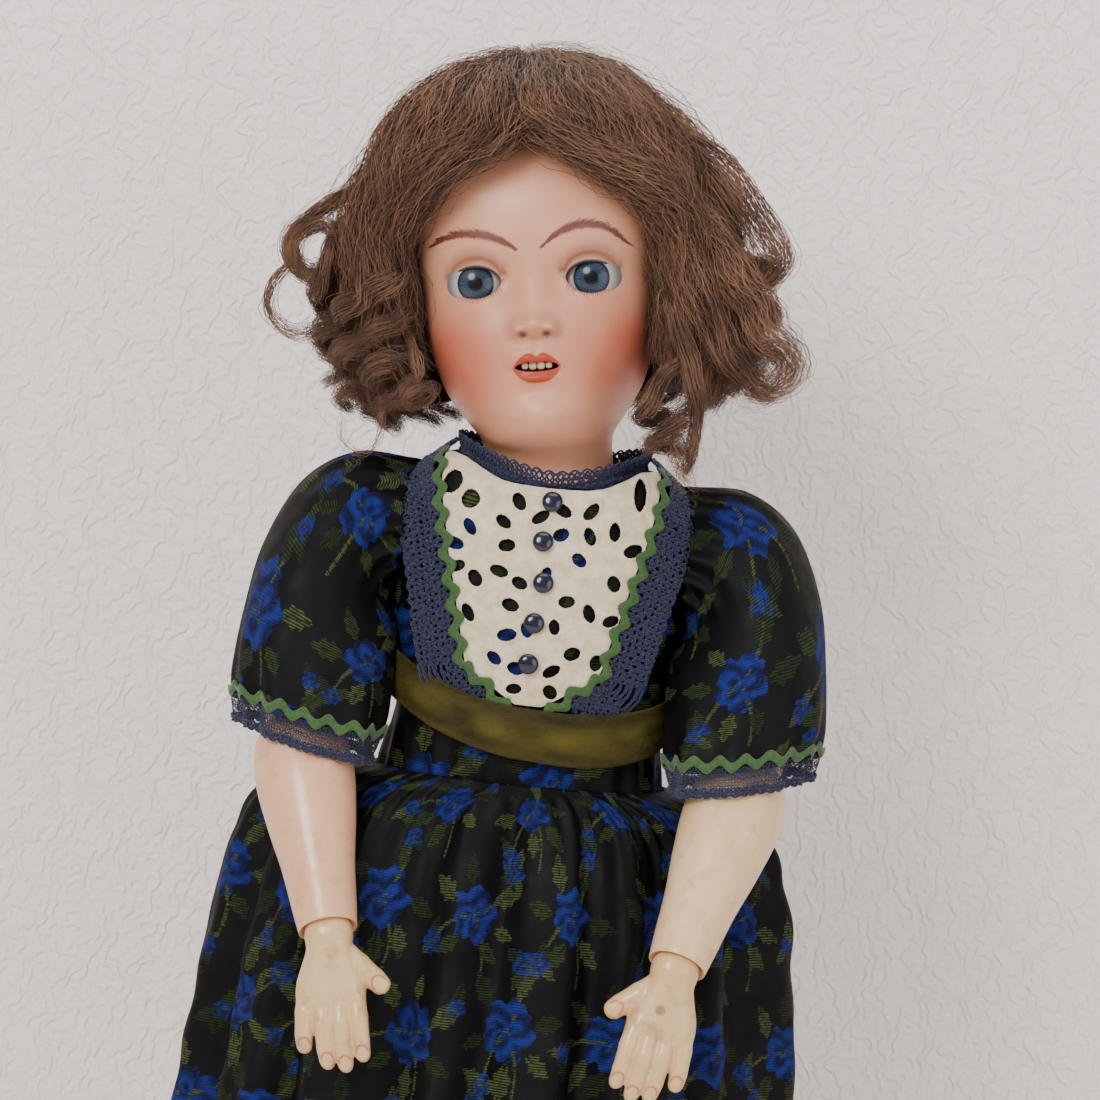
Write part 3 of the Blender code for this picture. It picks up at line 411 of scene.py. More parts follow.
def velvet_look():
    look = Look("velvet_pile", roughness=0.75, Sheen_Weight=0.5, Specular_IOR_Level=0.2)
    look.shader.inputs["Sheen Roughness"].default_value = 0.35
    look.shader.inputs["Sheen Tint"].default_value = (*linear(110, 100, 40), 1)
    tone = look.mix(look.noise(45, 5, 0.7, stretch=(1, 1, 3)), linear(26, 23, 6), linear(62, 55, 15))
    tone = look.mix(look.paint("worn", False), tone, linear(96, 86, 28))
    look.colour(tone)
    look.bump(look.noise(500, 4, 0.7), 0.0005, 0.8)
    look.bump(look.noise(60, 4), 0.002, 0.5)
    return look.material


def plain(name, colour, roughness, depth=0.0, scale=120, **more):
    look = Look(name, roughness=roughness, **more)
    look.colour(look.mix(look.noise(scale, 4), colour, np.asarray(colour) * 0.72))
    look.rough(look.noise(scale * 1.7, 3, low=max(roughness - 0.08, 0.02), high=roughness + 0.1))
    if depth:
        look.bump(look.noise(scale * 2, 4), depth, 0.6)
    return look.material


def eye_look():
    look = Look("eye_glass_painted", roughness=0.3, Coat_Weight=0.35, IOR=1.4, Specular_IOR_Level=0.2)
    look.shader.inputs["Coat Roughness"].default_value = 0.02
    look.colour(look.mix(look.noise(2400, 2, low=0.0, high=0.25), look.paint("paint"), linear(120, 130, 140),
                         "MULTIPLY"))
    return look.material


BISQUE = bisque_look()
PALE_ARM = composition_look("composition_pink_cream", linear(222, 172, 136), linear(196, 140, 104))
IVORY_ARM = composition_look("composition_ivory", linear(226, 192, 148), linear(188, 148, 100))
HAND = composition_look("composition_hand", linear(212, 178, 128), linear(160, 116, 80))
BODY = composition_look("composition_body", linear(220, 186, 158), linear(182, 140, 108))
HAIR = hair_look()
SCALP = plain("wig_base", linear(58, 40, 33), 0.9, 0.001, 300)
BROCADE = brocade_look()
EYELET = cloth_look("eyelet_cotton", linear(222, 208, 176), linear(188, 170, 136))
COTTON = cloth_look("petticoat_cotton", linear(232, 228, 216), linear(208, 202, 186))
GREEN = cloth_look("rickrack_green", linear(56, 92, 38), linear(36, 64, 24), 500)
NAVY = cloth_look("crochet_navy", linear(16, 24, 76), linear(7, 10, 34), 420, 0.0004)
VELVET = velvet_look()
GLASS_EYE = eye_look()
TEETH = plain("teeth_glaze", linear(196, 176, 138), 0.3, Coat_Weight=0.3)
BUTTON = Look("button_glass_navy", linear(8, 11, 36), 0.2, Coat_Weight=0.5, IOR=1.45).material
LEATHER = plain("shoe_leather", linear(30, 27, 26), 0.35, 0.0003, 260, Coat_Weight=0.3)
SOLE = plain("shoe_sole", linear(118, 86, 58), 0.7, 0.0004, 180)
STEEL = plain("steel", linear(150, 148, 145), 0.35, 0.0001, 400, Metallic=1.0)
LEAD = plain("lead_weight", linear(92, 92, 96), 0.6, 0.0003, 300, Metallic=0.8)
WOOD = plain("turned_wood_plug", linear(170, 126, 84), 0.6, 0.0003, 200)
ELASTIC = cloth_look("elastic_cord", linear(214, 206, 190), linear(180, 170, 150), 900)
PLASTER = plain("plaster_set", linear(226, 222, 212), 0.9, 0.0005, 200)
CARD = plain("pate_card", linear(178, 146, 110), 0.9, 0.0004, 220)

for node, look in (("torso", BODY), ("crown_pate", CARD), ("eye_rocker", STEEL), ("neck_hook", STEEL),
                   ("eye_counterweight", LEAD), ("neck_plug", WOOD), ("right_eye_plaster", PLASTER),
                   ("left_eye_plaster", PLASTER)):
    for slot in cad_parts[node].material_slots:
        slot.material = look
for _, word in SIDES:
    for part in ("shoulder_ball", "upper_arm", "elbow_ball", "hip_ball", "thigh", "knee_ball"):
        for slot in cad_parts[f"{word}_{part}"].material_slots:
            slot.material = BODY


# ---------------------------------------------------------------- head
def head(points):
    """From the head's frame, upright and facing -Y, into the doll's."""
    tilt, yaw = math.radians(-HEAD_TILT), math.radians(HEAD_YAW)
    spin = np.array([[math.cos(yaw), -math.sin(yaw), 0], [math.sin(yaw), math.cos(yaw), 0], [0, 0, 1]])
    lean = np.array([[math.cos(tilt), 0, math.sin(tilt)], [0, 1, 0], [-math.sin(tilt), 0, math.cos(tilt)]])
    return np.asarray(points, float) @ (lean @ spin).T + PIVOT


def eye_inside(x, z, side):
    """How far inside the eye opening a point of the face lies; negative is outside."""
    t = (x - side * EYE[0]) / 1.24
    room = np.clip(1 - t * t, 0, 1)
    upper = EYE[2] + 0.74 * room**0.58
    lower = EYE[2] - 0.73 * room**0.68
    return np.minimum(np.minimum(upper - z, z - lower), (1 - np.abs(t)) * 1.24), upper, lower


def mouth_inside(x, z):
    room = np.clip(1 - np.abs(x / 1.06) ** 2.2, 0, 1)
    upper = 6.2 + 0.27 * room**0.6 - 0.05 * bell(x, 0, 0.3)
    lower = 6.2 - 0.2 * room**0.6
    return np.minimum(np.minimum(upper - z, z - lower), (1 - np.abs(x / 1.06)) * 1.06)


def lips(x, z):
    """How far inside the outline of the lips, over the opening too."""
    room = np.clip(1 - (np.abs(x) / 1.22) ** 2.2, 0, 1)
    upper = 6.2 + 0.78 * room**0.9 - 0.2 * bell(x, 0, 0.22)
    lower = 6.2 - 0.8 * np.clip(1 - (np.abs(x) / 1.2) ** 2.6, 0, 1) ** 0.75
    return np.minimum(upper - z, z - lower)


def sculpt(x, z):
    """How far the face stands forward of its plain outline."""
    a = np.abs(x)
    out = 0.68 * bell(x, 0, 0.72) * bell(z, 8.25, 0.5) + 0.26 * bell(x, 0, 0.85) * bell(z, 9.3, 1.05)
    out += 0.3 * bell(x, 0, 0.9) * bell(z, 8.4, 0.75)
    out += 0.5 * bell(a, 0.88, 0.34) * bell(z, 8.05, 0.34)
    out -= 0.34 * bell(a, 0.58, 0.22) * bell(z, 7.76, 0.15)
    out -= 0.1 * bell(x, 0, 1.1) * bell(z, 7.5, 0.22)
    out += 0.14 * bell(x, 0, 1.6) * bell(z, 6.6, 1.2) + 0.12 * bell(x, 0, 1.5) * bell(z, 4.1, 0.5)
    out -= 0.07 * bell(x, 0, 0.15) * bell(z, 7.2, 0.3)
    out += 0.17 * bell(a, 0.42, 0.42) * bell(z, 6.66, 0.2) + 0.24 * bell(x, 0, 0.75) * bell(z, 5.66, 0.22)
    out -= 0.1 * bell(a, 1.35, 0.3) * bell(z, 6.2, 0.3)
    out -= 0.16 * bell(x, 0, 0.9) * bell(z, 5.05, 0.3)
    out += 0.34 * bell(x, 0, 1.3) * bell(z, 3.6, 0.8)
    out += 0.28 * bell(a, 3.7, 1.9) * bell(z, 6.9, 1.9)
    out -= 0.26 * bell(a, 2.9, 2.0) * bell(z, 10.7, 1.2) + 0.5 * bell(a, 1.3, 0.8) * bell(z, 10.35, 0.9)
    out += 0.14 * bell(a, 2.8, 2.2) * bell(z, 12.3, 0.8)
    return out


def strokes(x, z, base, tips, width):
    """Cover of thin painted strokes from base to tips, thick at the base and vanishing at the tip."""
    cover = np.zeros(x.shape)
    for p, q, w in zip(base, tips, np.broadcast_to(width, len(base))):
        run = q - p
        t = np.clip(((x - p[0]) * run[0] + (z - p[1]) * run[1]) / max(run @ run, 1e-9), 0, 1)
        gap = np.hypot(x - p[0] - t * run[0], z - p[1] - t * run[1])
        reach = w * (1.05 - t)
        cover = np.maximum(cover, 1 - ramp(gap, 0.35 * reach, reach))
    return cover


def face_paint_and_shade(x, y, z):
    """The head's painted colour, fired and decorated, with painted shade over the upper lids, in the lid
    creases, on the walls of the eye openings, beside and under the nose, in the nostrils, in the mouth
    corners and inside the mouth.
    """
    skin = np.broadcast_to(linear(208, 149, 117), (len(x), 3)).copy()
    front = y < -0.5
    a = np.abs(x)
    skin = blend(skin, linear(207, 145, 113), 0.35 * bell(z, 15.5, 2.2) * front)
    blush = bell(a, 4.1, 2.5) * bell(z, 6.6, 2.3)
    skin = blend(skin, linear(178, 70, 40), np.clip(0.85 * blush**0.85, 0, 0.7) * front)
    skin = blend(skin, linear(218, 154, 122), 0.4 * bell(x, 0, 1.3) * bell(z, 3.4, 0.7) * front)
    # painted shade: browner over the upper lids, under the brows
    skin = blend(skin, linear(190, 150, 122), 0.4 * bell(a, 2.83, 1.8) * bell(z, 11.55, 0.5) * front)
    # painted shade: darker beside the bridge of the nose
    skin = blend(skin, linear(184, 140, 116), 0.3 * bell(a, 1.15, 0.3) * bell(z, 8.4, 0.6) * front)
    near = np.flatnonzero(front & (z > 4.6) & (z < 14.2) & (a < 5.9))
    nx, nz = x[near], z[near]
    tone = skin[near]
    for side, _ in SIDES:
        inside, upper, _ = eye_inside(nx, nz, side)
        t = (nx - side * EYE[0]) / 1.34
        lid = ramp(1.28 - np.abs(t), 0, 0.25)
        # painted shade: a dark line in the sculpted lid crease and a brown band over the upper lid
        tone = blend(tone, linear(120, 72, 52), 0.78 * bell(nz, upper + 0.4, 0.15) * lid)
        tone = blend(tone, linear(156, 100, 74), 0.7 * bell(nz, upper + 0.6, 0.42) * lid)
        # a near-black line along the upper lid: the painted lash line, thickened with painted shade under the
        # lid rim
        tone = blend(tone, linear(34, 20, 18), ramp(-inside, 0.2, 0.1) * ramp(nz, EYE[2] - 0.05,
                                                                              EYE[2] + 0.2))
        # painted shade: dark brown on the walls of the eye opening
        tone = blend(tone, linear(70, 48, 42), ramp(inside, -0.01, 0.04))
        tone = blend(tone, linear(126, 84, 66), 0.5 * ramp(-inside, 0.12, 0.0) * (nz <= EYE[2]))
        lean = np.linspace(-1.16, 1.16, 24) + dice.normal(0, 0.012, 24)
        foot = np.stack([side * EYE[0] + lean, EYE[2] - 0.76 * (1 - (lean / 1.34) ** 2) ** 0.72], 1)
        way = np.stack([0.55 * lean, -np.ones(24)], 1)
        tips = foot + unit(way) * dice.uniform(0.2, 0.3, (24, 1))
        tone = blend(tone, linear(52, 40, 42), 0.85 * strokes(nx, nz, foot, tips, 0.034))
    brows = {-1: ((-0.7, 1.55), (-1.4, 1.98), (-2.2, 2.28), (-3.3, 2.42), (-4.2, 2.28), (-4.85, 1.98)),
             1: ((0.5, 1.58), (1.2, 2.12), (2.0, 2.48), (2.85, 2.6), (3.75, 2.34), (4.65, 1.6))}
    thick = {-1: (0.1, 0.2, 0.25, 0.24, 0.17, 0.06), 1: (0.08, 0.16, 0.25, 0.26, 0.2, 0.07)}
    for side, line in brows.items():
        count = 130
        share = np.linspace(0, 1, count)
        key = np.linspace(0, 1, 6)
        middle = np.stack([curve(share, key, [p[k] for p in line]) for k in (0, 1)], 1) + (0, EYE[2])
        wide = curve(share, key, thick[side])
        along = np.gradient(middle, axis=0)
        along /= np.linalg.norm(along, axis=1, keepdims=True)
        across = np.stack([-along[:, 1], along[:, 0]], 1)
        across *= np.sign(across[:, 1:2])
        offset = dice.uniform(-0.75, 0.45, count) * wide
        base = middle + across * offset[:, None]
        tips = base + along * (0.28 + 0.3 * dice.random((count, 1))) + across * (wide * 0.9)[:, None]
        cover = strokes(nx, nz, base, tips, 0.05)
        body = strokes(nx, nz, middle[:-4:4], middle[4::4], wide[:-4:4] * 1.15)
        tone = blend(tone, linear(84, 26, 12), np.maximum(0.92 * cover, 0.84 * body))
    lip = ramp(lips(nx, nz), 0.0, 0.06)
    tone = blend(tone, linear(168, 42, 8), 0.97 * lip)
    tone = blend(tone, linear(150, 50, 34), 0.5 * lip * bell(mouth_inside(nx, nz), -0.03, 0.09))
    # painted shade: darker in the dimples at the mouth corners
    tone = blend(tone, linear(168, 110, 88), 0.5 * bell(np.abs(nx), 1.3, 0.25) * bell(nz, 6.18, 0.14))
    # the mouth hollow near-black: its dark red paint deepened with painted shade
    tone = blend(tone, linear(40, 14, 10), ramp(mouth_inside(nx, nz), -0.02, 0.05))
    # painted shade: dark in the nostril hollows
    tone = blend(tone, linear(92, 52, 42), np.clip(1.2 * bell(np.abs(nx), 0.58, 0.2) * bell(nz, 7.82, 0.13),
                                                   0, 0.92))
    # painted shade: darker under the nose
    tone = blend(tone, linear(160, 116, 96), 0.5 * bell(nx, 0, 0.9) * bell(nz, 7.6, 0.16))
    skin[near] = tone
    return skin


def make_head():
    zs = np.concatenate([np.arange(-2.7, 1.6, 0.15), np.arange(1.6, 4.8, 0.06), np.arange(4.8, 13.4, 0.036),
                         np.arange(13.4, 17.9, 0.1)])
    turn = np.concatenate([np.linspace(-0.5, 0.5, 520), np.linspace(0.5, 1.5, 122)[1:-1]]) * math.pi
    half, front, back = (rows_at(zs, FACE)[:, k][:, None] for k in range(3))
    power = (2.0 + 0.36 * ramp(zs, 3.5, 8.0))[:, None]
    share = np.sin(turn)[None, :]
    x = half * share
    depth = (1 - np.minimum(np.abs(share), 1) ** power) ** (1 / power)
    ahead = np.cos(turn)[None, :] >= 0
    y = np.where(ahead, -front, back) * depth
    z = np.broadcast_to(zs[:, None], x.shape).copy()
    y = y - np.where(ahead, sculpt(x, z) * ramp(depth, 0.05, 0.5), 0)
    for side, _ in SIDES:
        inside, upper, _ = eye_inside(x, z, side)
        t = np.abs((x - side * EYE[0]) / 1.34)
        rim = bell(np.minimum(inside, 0), 0, 0.17) * ramp(1.3 - t, 0, 0.3)
        crease = bell(z, upper + 0.42, 0.12) * ramp(1.25 - t, 0, 0.3)
        y -= np.where(ahead, 0.08 * rim - 0.1 * crease, 0)
        y += np.where(ahead, ramp(inside, -0.02, 0.07) * (-3.45 - y), 0)
    y += np.where(ahead, ramp(mouth_inside(x, z), -0.02, 0.07) * (-5.0 - y), 0)
    points = np.stack([x, y, z], -1)
    flat = points.reshape(-1, 3)
    piece("head_bisque", head(flat), grid(*x.shape), BISQUE, "head", "bisque", ["bisque_head"],
          paint=face_paint_and_shade(*flat.T))

    teeth = []
    for middle, wide, tall in ((-0.58, 0.17, 0.17), (-0.2, 0.19, 0.21),
                                                   (0.2, 0.19, 0.21), (0.58, 0.17, 0.17)):
        polar, angle = np.meshgrid(np.linspace(0.05, math.pi - 0.05, 14), np.arange(20) * 2 * math.pi / 20,
                                   indexing="ij")
        ball = np.stack([np.sin(polar) * np.cos(angle), np.sin(polar) * np.sin(angle), np.cos(polar)], -1)
        ball = np.sign(ball) * np.abs(ball) ** 0.7
        teeth.append(lathe(head(ball * (wide, 0.14, tall) + (middle, -5.98 + 0.12 * abs(middle), 6.28))))
    piece("teeth", *joined(teeth), TEETH, "head", "teeth_porcelain", ["upper_teeth"])

    for side, word in SIDES:
        polar, angle = np.meshgrid(np.concatenate([np.linspace(0.004, 0.62, 90),
                                                   np.linspace(0.64, 3.13, 50)]),
                                   np.arange(180) * 2 * math.pi / 180, indexing="ij")
        way = np.stack([np.sin(polar) * np.cos(angle), -np.cos(polar), np.sin(polar) * np.sin(angle)], -1)
        reach = EYE_R * np.sin(polar)
        threads = 0.5 + 0.28 * np.sin(37 * angle + 3 * np.sin(5 * angle)) + 0.22 * np.sin(61 * angle + 2 *
                reach)
        tone = np.broadcast_to(linear(176, 168, 164), (*polar.shape, 3)).copy()
        # painted shade: the white darkens toward the corners of the eye opening and round the back
        tone = blend(tone, linear(130, 122, 122), ramp(polar, 0.6, 1.0))
        iris = linear(22, 30, 42) + (linear(66, 82, 102) - linear(22, 30,
                                                                  42)) * (threads * (0.4 + 0.6 * ramp(reach,
                                                                          0.25, 0.7)))[..., None]
        iris = blend(iris, linear(20, 28, 40), ramp(reach, 0.7, 0.86))
        iris = blend(iris, linear(30, 40, 56), 1 - ramp(reach, 0.3, 0.42))
        tone = np.where((polar < 1.5)[..., None], blend(tone, iris, ramp(0.92 - reach, 0, 0.05)), tone)
        tone = np.where((polar < 1.5)[..., None], blend(tone, linear(6, 6, 8), ramp(0.36 - reach, 0, 0.04)),
                        tone)
        rise = np.degrees(np.arctan2(way[..., 2], -way[..., 1]))
        tone = blend(tone, linear(206, 158, 134), ramp(rise, 36, 38) * (rise < 175))
        tone = blend(tone, linear(60, 42, 36), bell(rise, 36.5, 1.4))
        points = way * EYE_R + mirrored(EYE, side)
        piece(f"{word}_glass_eye", *lathe(head(points)), GLASS_EYE, "eyes", "eye_glass", [f"{word}_eyeball"],
              paint=np.concatenate([tone.reshape(-1, 3), tone[0, :1], tone[-1, :1]]))


make_head()

# ---------------------------------------------------------------- wig
# height in the head's frame, half width, front depth, back depth of the hair
MASS = [(3.4, 7.6, 4.4, 6.2), (4.6, 8.9, 5.0, 7.2), (6.5, 9.7, 5.6, 8.2), (8.5, 9.9, 6.0, 8.7),
        (10.5, 9.8, 6.3, 9.0), (12.5, 9.5, 6.7, 9.1), (14.8, 8.8, 7.3, 8.9), (16.5, 7.9, 7.6, 8.5),
        (17.8, 7.1, 7.3, 8.0), (19.6, 5.5, 5.9, 6.5), (20.7, 3.9, 4.1, 4.7), (21.3, 2.2, 2.3, 2.7),
        (21.6, 0.4, 0.4, 0.4)]
HAIRLINE_Z = [3.0, 6.2, 8.0, 10.4, 12.5, 13.9, 15.1, 16.3, 17.3, 17.9]
HAIRLINE_X = [5.3, 5.6, 6.1, 6.3, 6.3, 6.0, 4.9, 3.0, 0.9, 0.0]


def comb(azimuth, layer, low, drift):
    """One lock's path from the crown down over the hair's mass, parted round the face."""
    zs = 21.6 - (21.6 - low) * np.linspace(0, 1, 90) ** 1.35
    half, front, back = rows_at(zs, MASS).T
    wander = azimuth + drift * np.sin(np.linspace(0, 3.1, 90))
    x, y = oval(wander, half * layer, front * layer, back * layer, 2.1, 2.1)
    y = y + 2.4 * ramp(zs, 18.8, 21.6)
    z = 10.0 + (zs - 10.0) * (layer * 0.5 + 0.5)
    edge = np.interp(z, HAIRLINE_Z, HAIRLINE_X) + 0.25 + 2.3 * (layer - 0.78)
    side = 1 if azimuth > 0 else -1
    facing = (y < 1.5) & (z < 18.2)
    push = facing & (x * side < edge)
    x = np.where(push, side * edge, x)
    y = np.where(push, -np.interp(z, HAIRLINE_Z, [3.6, 3.2, 3.2, 3.4, 4.0, 5.0, 6.2, 6.9, 6.9,
                                                  6.7]) - 1.6 * (layer - 0.85), y)
    line = np.stack([x, y, z], 1)
    for _ in range(10):
        line[1:-1] = (line[:-2] + 2 * line[1:-1] + line[2:]) / 4
    out = unit(line - (0, 0.8, 11.0))
    beat = 2 * math.pi * (z / 4.4 + 0.9 * math.sin(1.7 * azimuth + 0.6) + 0.35 * math.sin(5.0 * azimuth))
    swell = ramp(21.2 - z, 0, 4.0)
    aside = np.stack([-out[:, 1], out[:, 0], 0 * z], 1)
    return line + out * (0.26 * swell * np.sin(beat))[:, None] + aside * (0.42 * swell * np.cos(beat))[:,
            None]


def lock(path, strands, wide, wave, frizz, points=22, radius=0.026, tone=0.5, flat=1.0):
    """Strands about one path; wave is (height, length) of the kinks, and the strands' tone rises and falls
    with the kinks as painted highlight and shade.
    """
    path = spread(path, points)
    along = unit(np.gradient(path, axis=0))
    out = unit(path - np.array([0, 0.8, 11.0]))
    side = unit(np.cross(along, out))
    out = np.cross(side, along)
    share = np.linspace(0, 1, points)
    length = np.linalg.norm(np.diff(path, axis=0), axis=1).sum()
    angle, reach = dice.uniform(0, 2 * math.pi, strands), np.sqrt(dice.random(strands))
    twist = share[None] * dice.uniform(0.8, 2.6)
    profile = wide * (0.75 + 0.5 * np.sin(math.pi * share) - 0.35 * share)
    a = np.cos(angle[:, None] + twist) * reach[:, None] * profile
    b = np.sin(angle[:, None] + twist) * reach[:, None] * profile * flat
    phase = dice.uniform(0, 6.28) + dice.normal(0, 0.35, (strands, 1))
    kink = wave[0] * ramp(share, 0.12, 0.5) * np.sin(2 * math.pi * length / wave[1] * share[None] + phase)
    a = a + kink
    b = b + 0.6 * kink * np.cos(phase)
    noise = np.cumsum(dice.normal(0, 1, (strands, points, 3)), axis=1)
    noise -= noise[:, :1] + (noise[:, -1:] - noise[:, :1]) * 0.4 * share[None, :, None]
    lines = path[None] + side[None] * a[..., None] + out[None] * b[...,
                                                                   None] + noise * frizz / math.sqrt(points)
    fade = radius * (1 - 0.65 * share**2)
    # each strand's own tone and random spread, with painted highlights on the crests of the kinks and painted
    # shade in their troughs
    tones_and_highlights = tone + dice.normal(0, 0.09, (strands, 1)) + 0.16 * np.sin(2 * math.pi * length / wave[1] *
                                                                      share + phase)
    return lines, np.broadcast_to(fade, (strands, points)), np.clip(tones_and_highlights, 0, 1)


def hair_piece(name, locks, replaces=()):
    verts, faces = joined([tubes(head(lines.reshape(-1, 3)).reshape(lines.shape), radius) for lines, radius,
                           _ in locks])
    tone = np.concatenate([np.repeat(tones_and_highlights.reshape(-1), 3) for _, _, tones_and_highlights in locks])
    return piece(name, verts, faces, HAIR, "head", "mohair", replaces, tone=tone)


def curl(start, end, radius, turns, strands, wide=0.4, lead=None, tone=0.5, phase=0.0, shrink=0.7):
    """A ringlet wound about the line from start to end, led in from the hair by the point lead."""
    start, end = np.asarray(start, float), np.asarray(end, float)
    axis = unit(end - start)
    a = unit(np.cross(axis, (0.2, 1.0, 0.1)))
    b = np.cross(axis, a)
    t = np.linspace(0, 1, 60)[:, None]
    turn = 2 * math.pi * turns * t + phase
    path = start + (end - start) * t + radius * (1 - (1 - shrink) * t) * (np.cos(turn) * a + np.sin(turn) * b)
    if lead is not None:
        path = np.concatenate([bent([lead, (np.asarray(lead) + path[0]) / 2 + (0, 0, 0.5), path[0]],
                                    14)[:-1], path])
    return lock(path, int(1.5 * strands), wide * 1.15, (0.06, 2.2), 0.26, int(24 + 15 * turns), 0.017, tone,
                0.6)


def make_wig():
    rows, columns = 90, 150
    zs = np.linspace(4.2, 21.5, rows)
    half, front, back = rows_at(zs, MASS).T
    angle = np.linspace(-math.pi, math.pi, columns, endpoint=False)
    points = np.zeros((rows, columns, 3))
    for k in range(rows):
        x, y = oval(angle, half[k] * 0.86, front[k] * 0.86, back[k] * 0.86, 2.1, 2.1)
        points[k] = np.stack([x, y, np.full(columns, 10 + (zs[k] - 10) * 0.93)], 1)
    points += 0.15 * ripple(points[..., 0], points[..., 2], 3, 0.5)[..., None] * unit(points - (0, 0.8, 11))
    faces = grid(rows, columns)
    middle = points.reshape(-1, 3)[faces].mean(1)
    open_face = (middle[:, 1] < 0.5) & (middle[:, 2] < 17.6) & \
        (np.abs(middle[:, 0]) < np.interp(middle[:, 2], HAIRLINE_Z, HAIRLINE_X) + 0.35)
    low = np.abs(middle[:, 0]) < 5.6
    piece("wig_base", head(points.reshape(-1, 3)), faces[~(open_face | (low & (middle[:, 1] < 0) & (middle[:,
            2] < 15.5)))],
          SCALP, "head", "mohair", ["wig_cap"])

    locks = []
    for _ in range(540):
        azimuth = dice.uniform(-math.pi, math.pi)
        if abs(azimuth) > 1.2 and dice.random() < 0.35:
            azimuth = dice.uniform(-1.2, 1.2)
        layer = 1.01 - 0.15 * dice.random() ** 1.4
        low = dice.uniform(3.8, 6.5) + (2.0 if abs(azimuth) < 1.0 else 0)
        path = comb(azimuth, layer, low, dice.normal(0, 0.16))
        # painted shade: deeper locks darker and outer locks lighter, with a random spread
        tone = np.clip(dice.normal(0.2 + 1.9 * (layer - 0.88), 0.2), 0.02, 0.95)
        locks.append(lock(path, 15, dice.uniform(0.42, 0.75),
                          (dice.uniform(0.1, 0.34), dice.uniform(2.8, 5.2)),
                          0.62, 26, 0.022, tone, 0.6))
    for _ in range(70):
        path = comb(dice.uniform(-math.pi, math.pi), 1.02, dice.uniform(5, 12), dice.normal(0, 0.3))
        locks.append(lock(path, 8, 0.9, (0.3, 3.0), 0.75, 26, 0.011, 0.6))
    hair_piece("wig_hair", locks)

    right = [curl((-10.9, -1.6, 12.7), (-10.6, -3.0, 12.3), 1.35, 1.3, 80, 0.55, (-7.4, -1.2, 15.6), 0.5,
                  1.2, 1.0),
             lock(bent([(-11.9, -1.8, 12.2), (-13.2, -2.2, 10.9), (-13.3, -2.4, 9.4), (-11.9, -2.6, 8.4),
                        (-10.2, -2.4, 8.9),
                        (-9.6, -2.0, 10.2)], 40), 30, 0.3, (0.05, 4), 0.25, 40, 0.02, 0.5),
             lock(bent([(-8.2, -3.0, 6.0), (-7.9, -3.4, 4.6), (-8.2, -3.6, 3.0), (-9.0, -3.4, 2.3),
                        (-10.0, -3.2, 3.1),
                        (-9.9, -3.0, 4.4)], 40), 10, 0.12, (0.05, 3), 0.2, 36, 0.016, 0.6),
             curl((-6.2, -4.2, 5.4), (-5.9, -4.6, 4.9), 0.85, 1.2, 30, 0.22, (-6.6, -3.8, 8.4), 0.55, 0.6,
                  0.9)]
    for x, y, z, size in ((-7.4, -4.2, 8.6, 1.0), (-8.8, -3.6, 7.2, 1.15),
                                              (-10.2, -2.0, 8.0, 1.1),
                                              (-7.7, -3.8, 5.8, 1.0), (-9.4, -1.2, 5.8, 1.05),
                                              (-10.3, 1.4, 7.0, 1.1),
                                              (-8.4, 1.0, 4.6, 1.0), (-9.2, 3.6, 6.2, 1.1),
                                              (-7.8, 5.6, 5.4, 1.1)):
        right.append(curl((x + 0.2, y, z + 2.6), (x, y - 0.3, z - 1.2), size, 1.9, 95, 0.5,
                          (x * 0.93, y * 0.8, z + 6.0),
                          0.34 + 0.2 * dice.random(), dice.uniform(0, 6.28), 0.8))
    hair_piece("right_curls", right, ["right_side_curls"])
    left = [lock(bent([(7.2, -1.6, 17.4), (9.3, -2.6, 15.4), (10.9, -3.0, 12.8), (12.0, -2.6, 10.8),
                       (11.2, -2.2, 10.0), (10.0, -2.0, 10.6)], 40),
                 110, 0.8, (0.12, 3.6), 0.3, 34, 0.024, 0.42),
            lock(bent([(7.4, -2.8, 14.4), (9.2, -3.4, 11.6), (10.4, -3.4, 9.0), (11.6, -3.2, 6.6),
                       (12.4, -2.8, 5.4), (11.4, -2.6, 4.6),
                       (10.0, -2.4, 4.9)], 40), 150, 0.85, (0.2, 3.0), 0.5, 36, 0.022, 0.55),
            lock(bent([(6.6, -3.0, 14.0), (7.7, -3.8, 11.6), (8.4, -4.0, 9.0), (9.2, -3.8, 6.4),
                       (10.4, -3.2, 4.8), (11.4, -2.8, 4.4)], 40),
                 120, 0.8, (0.2, 3.4), 0.4, 34, 0.024, 0.36)]
    for x, y, z, size in ((9.4, -1.6, 6.6, 1.2), (10.3, 0.8, 7.0, 1.2),
                                              (8.6, -2.8, 5.8, 1.0),
                                              (9.6, 2.8, 6.0, 1.1), (8.3, 5.0, 5.4, 1.1),
                                              (10.7, -1.8, 8.8, 1.0)):
        left.append(curl((x, y, z + 2.4), (x + 0.3, y - 0.2, z - 1.2), size, 1.7, 85, 0.55,
                         (x * 0.93, y * 0.8, z + 6.0),
                         0.34 + 0.2 * dice.random(), dice.uniform(0, 6.28), 0.85))
    hair_piece("left_curls", left, ["left_side_curls"])
    tail = [lock(bent([(6.5, -3.6, 9.2), (6.9, -5.6, 7.6), (7.4, -6.2, 6.0), (7.6, -6.2, 3.6),
                       (7.3, -6.0, 1.6), (6.9, -5.8, 0.7)], 40),
                 100, 0.42, (0.08, 3.5), 0.16, 34, 0.024, 0.36),
            curl((5.9, -6.0, 4.0), (6.2, -6.0, 1.6), 0.95, 1.6, 110, 0.45, (7.0, -6.0, 6.0), 0.4, 2.0, 0.8),
            lock(bent([(6.6, -6.0, 2.6), (6.9, -6.1, 1.2), (7.2, -6.0, 0.2)], 30), 40, 0.5, (0.2, 1.5), 0.5,
                 20, 0.016, 0.6)]
    hair_piece("ringlet", tail, ["hanging_ringlet"])
    back = []
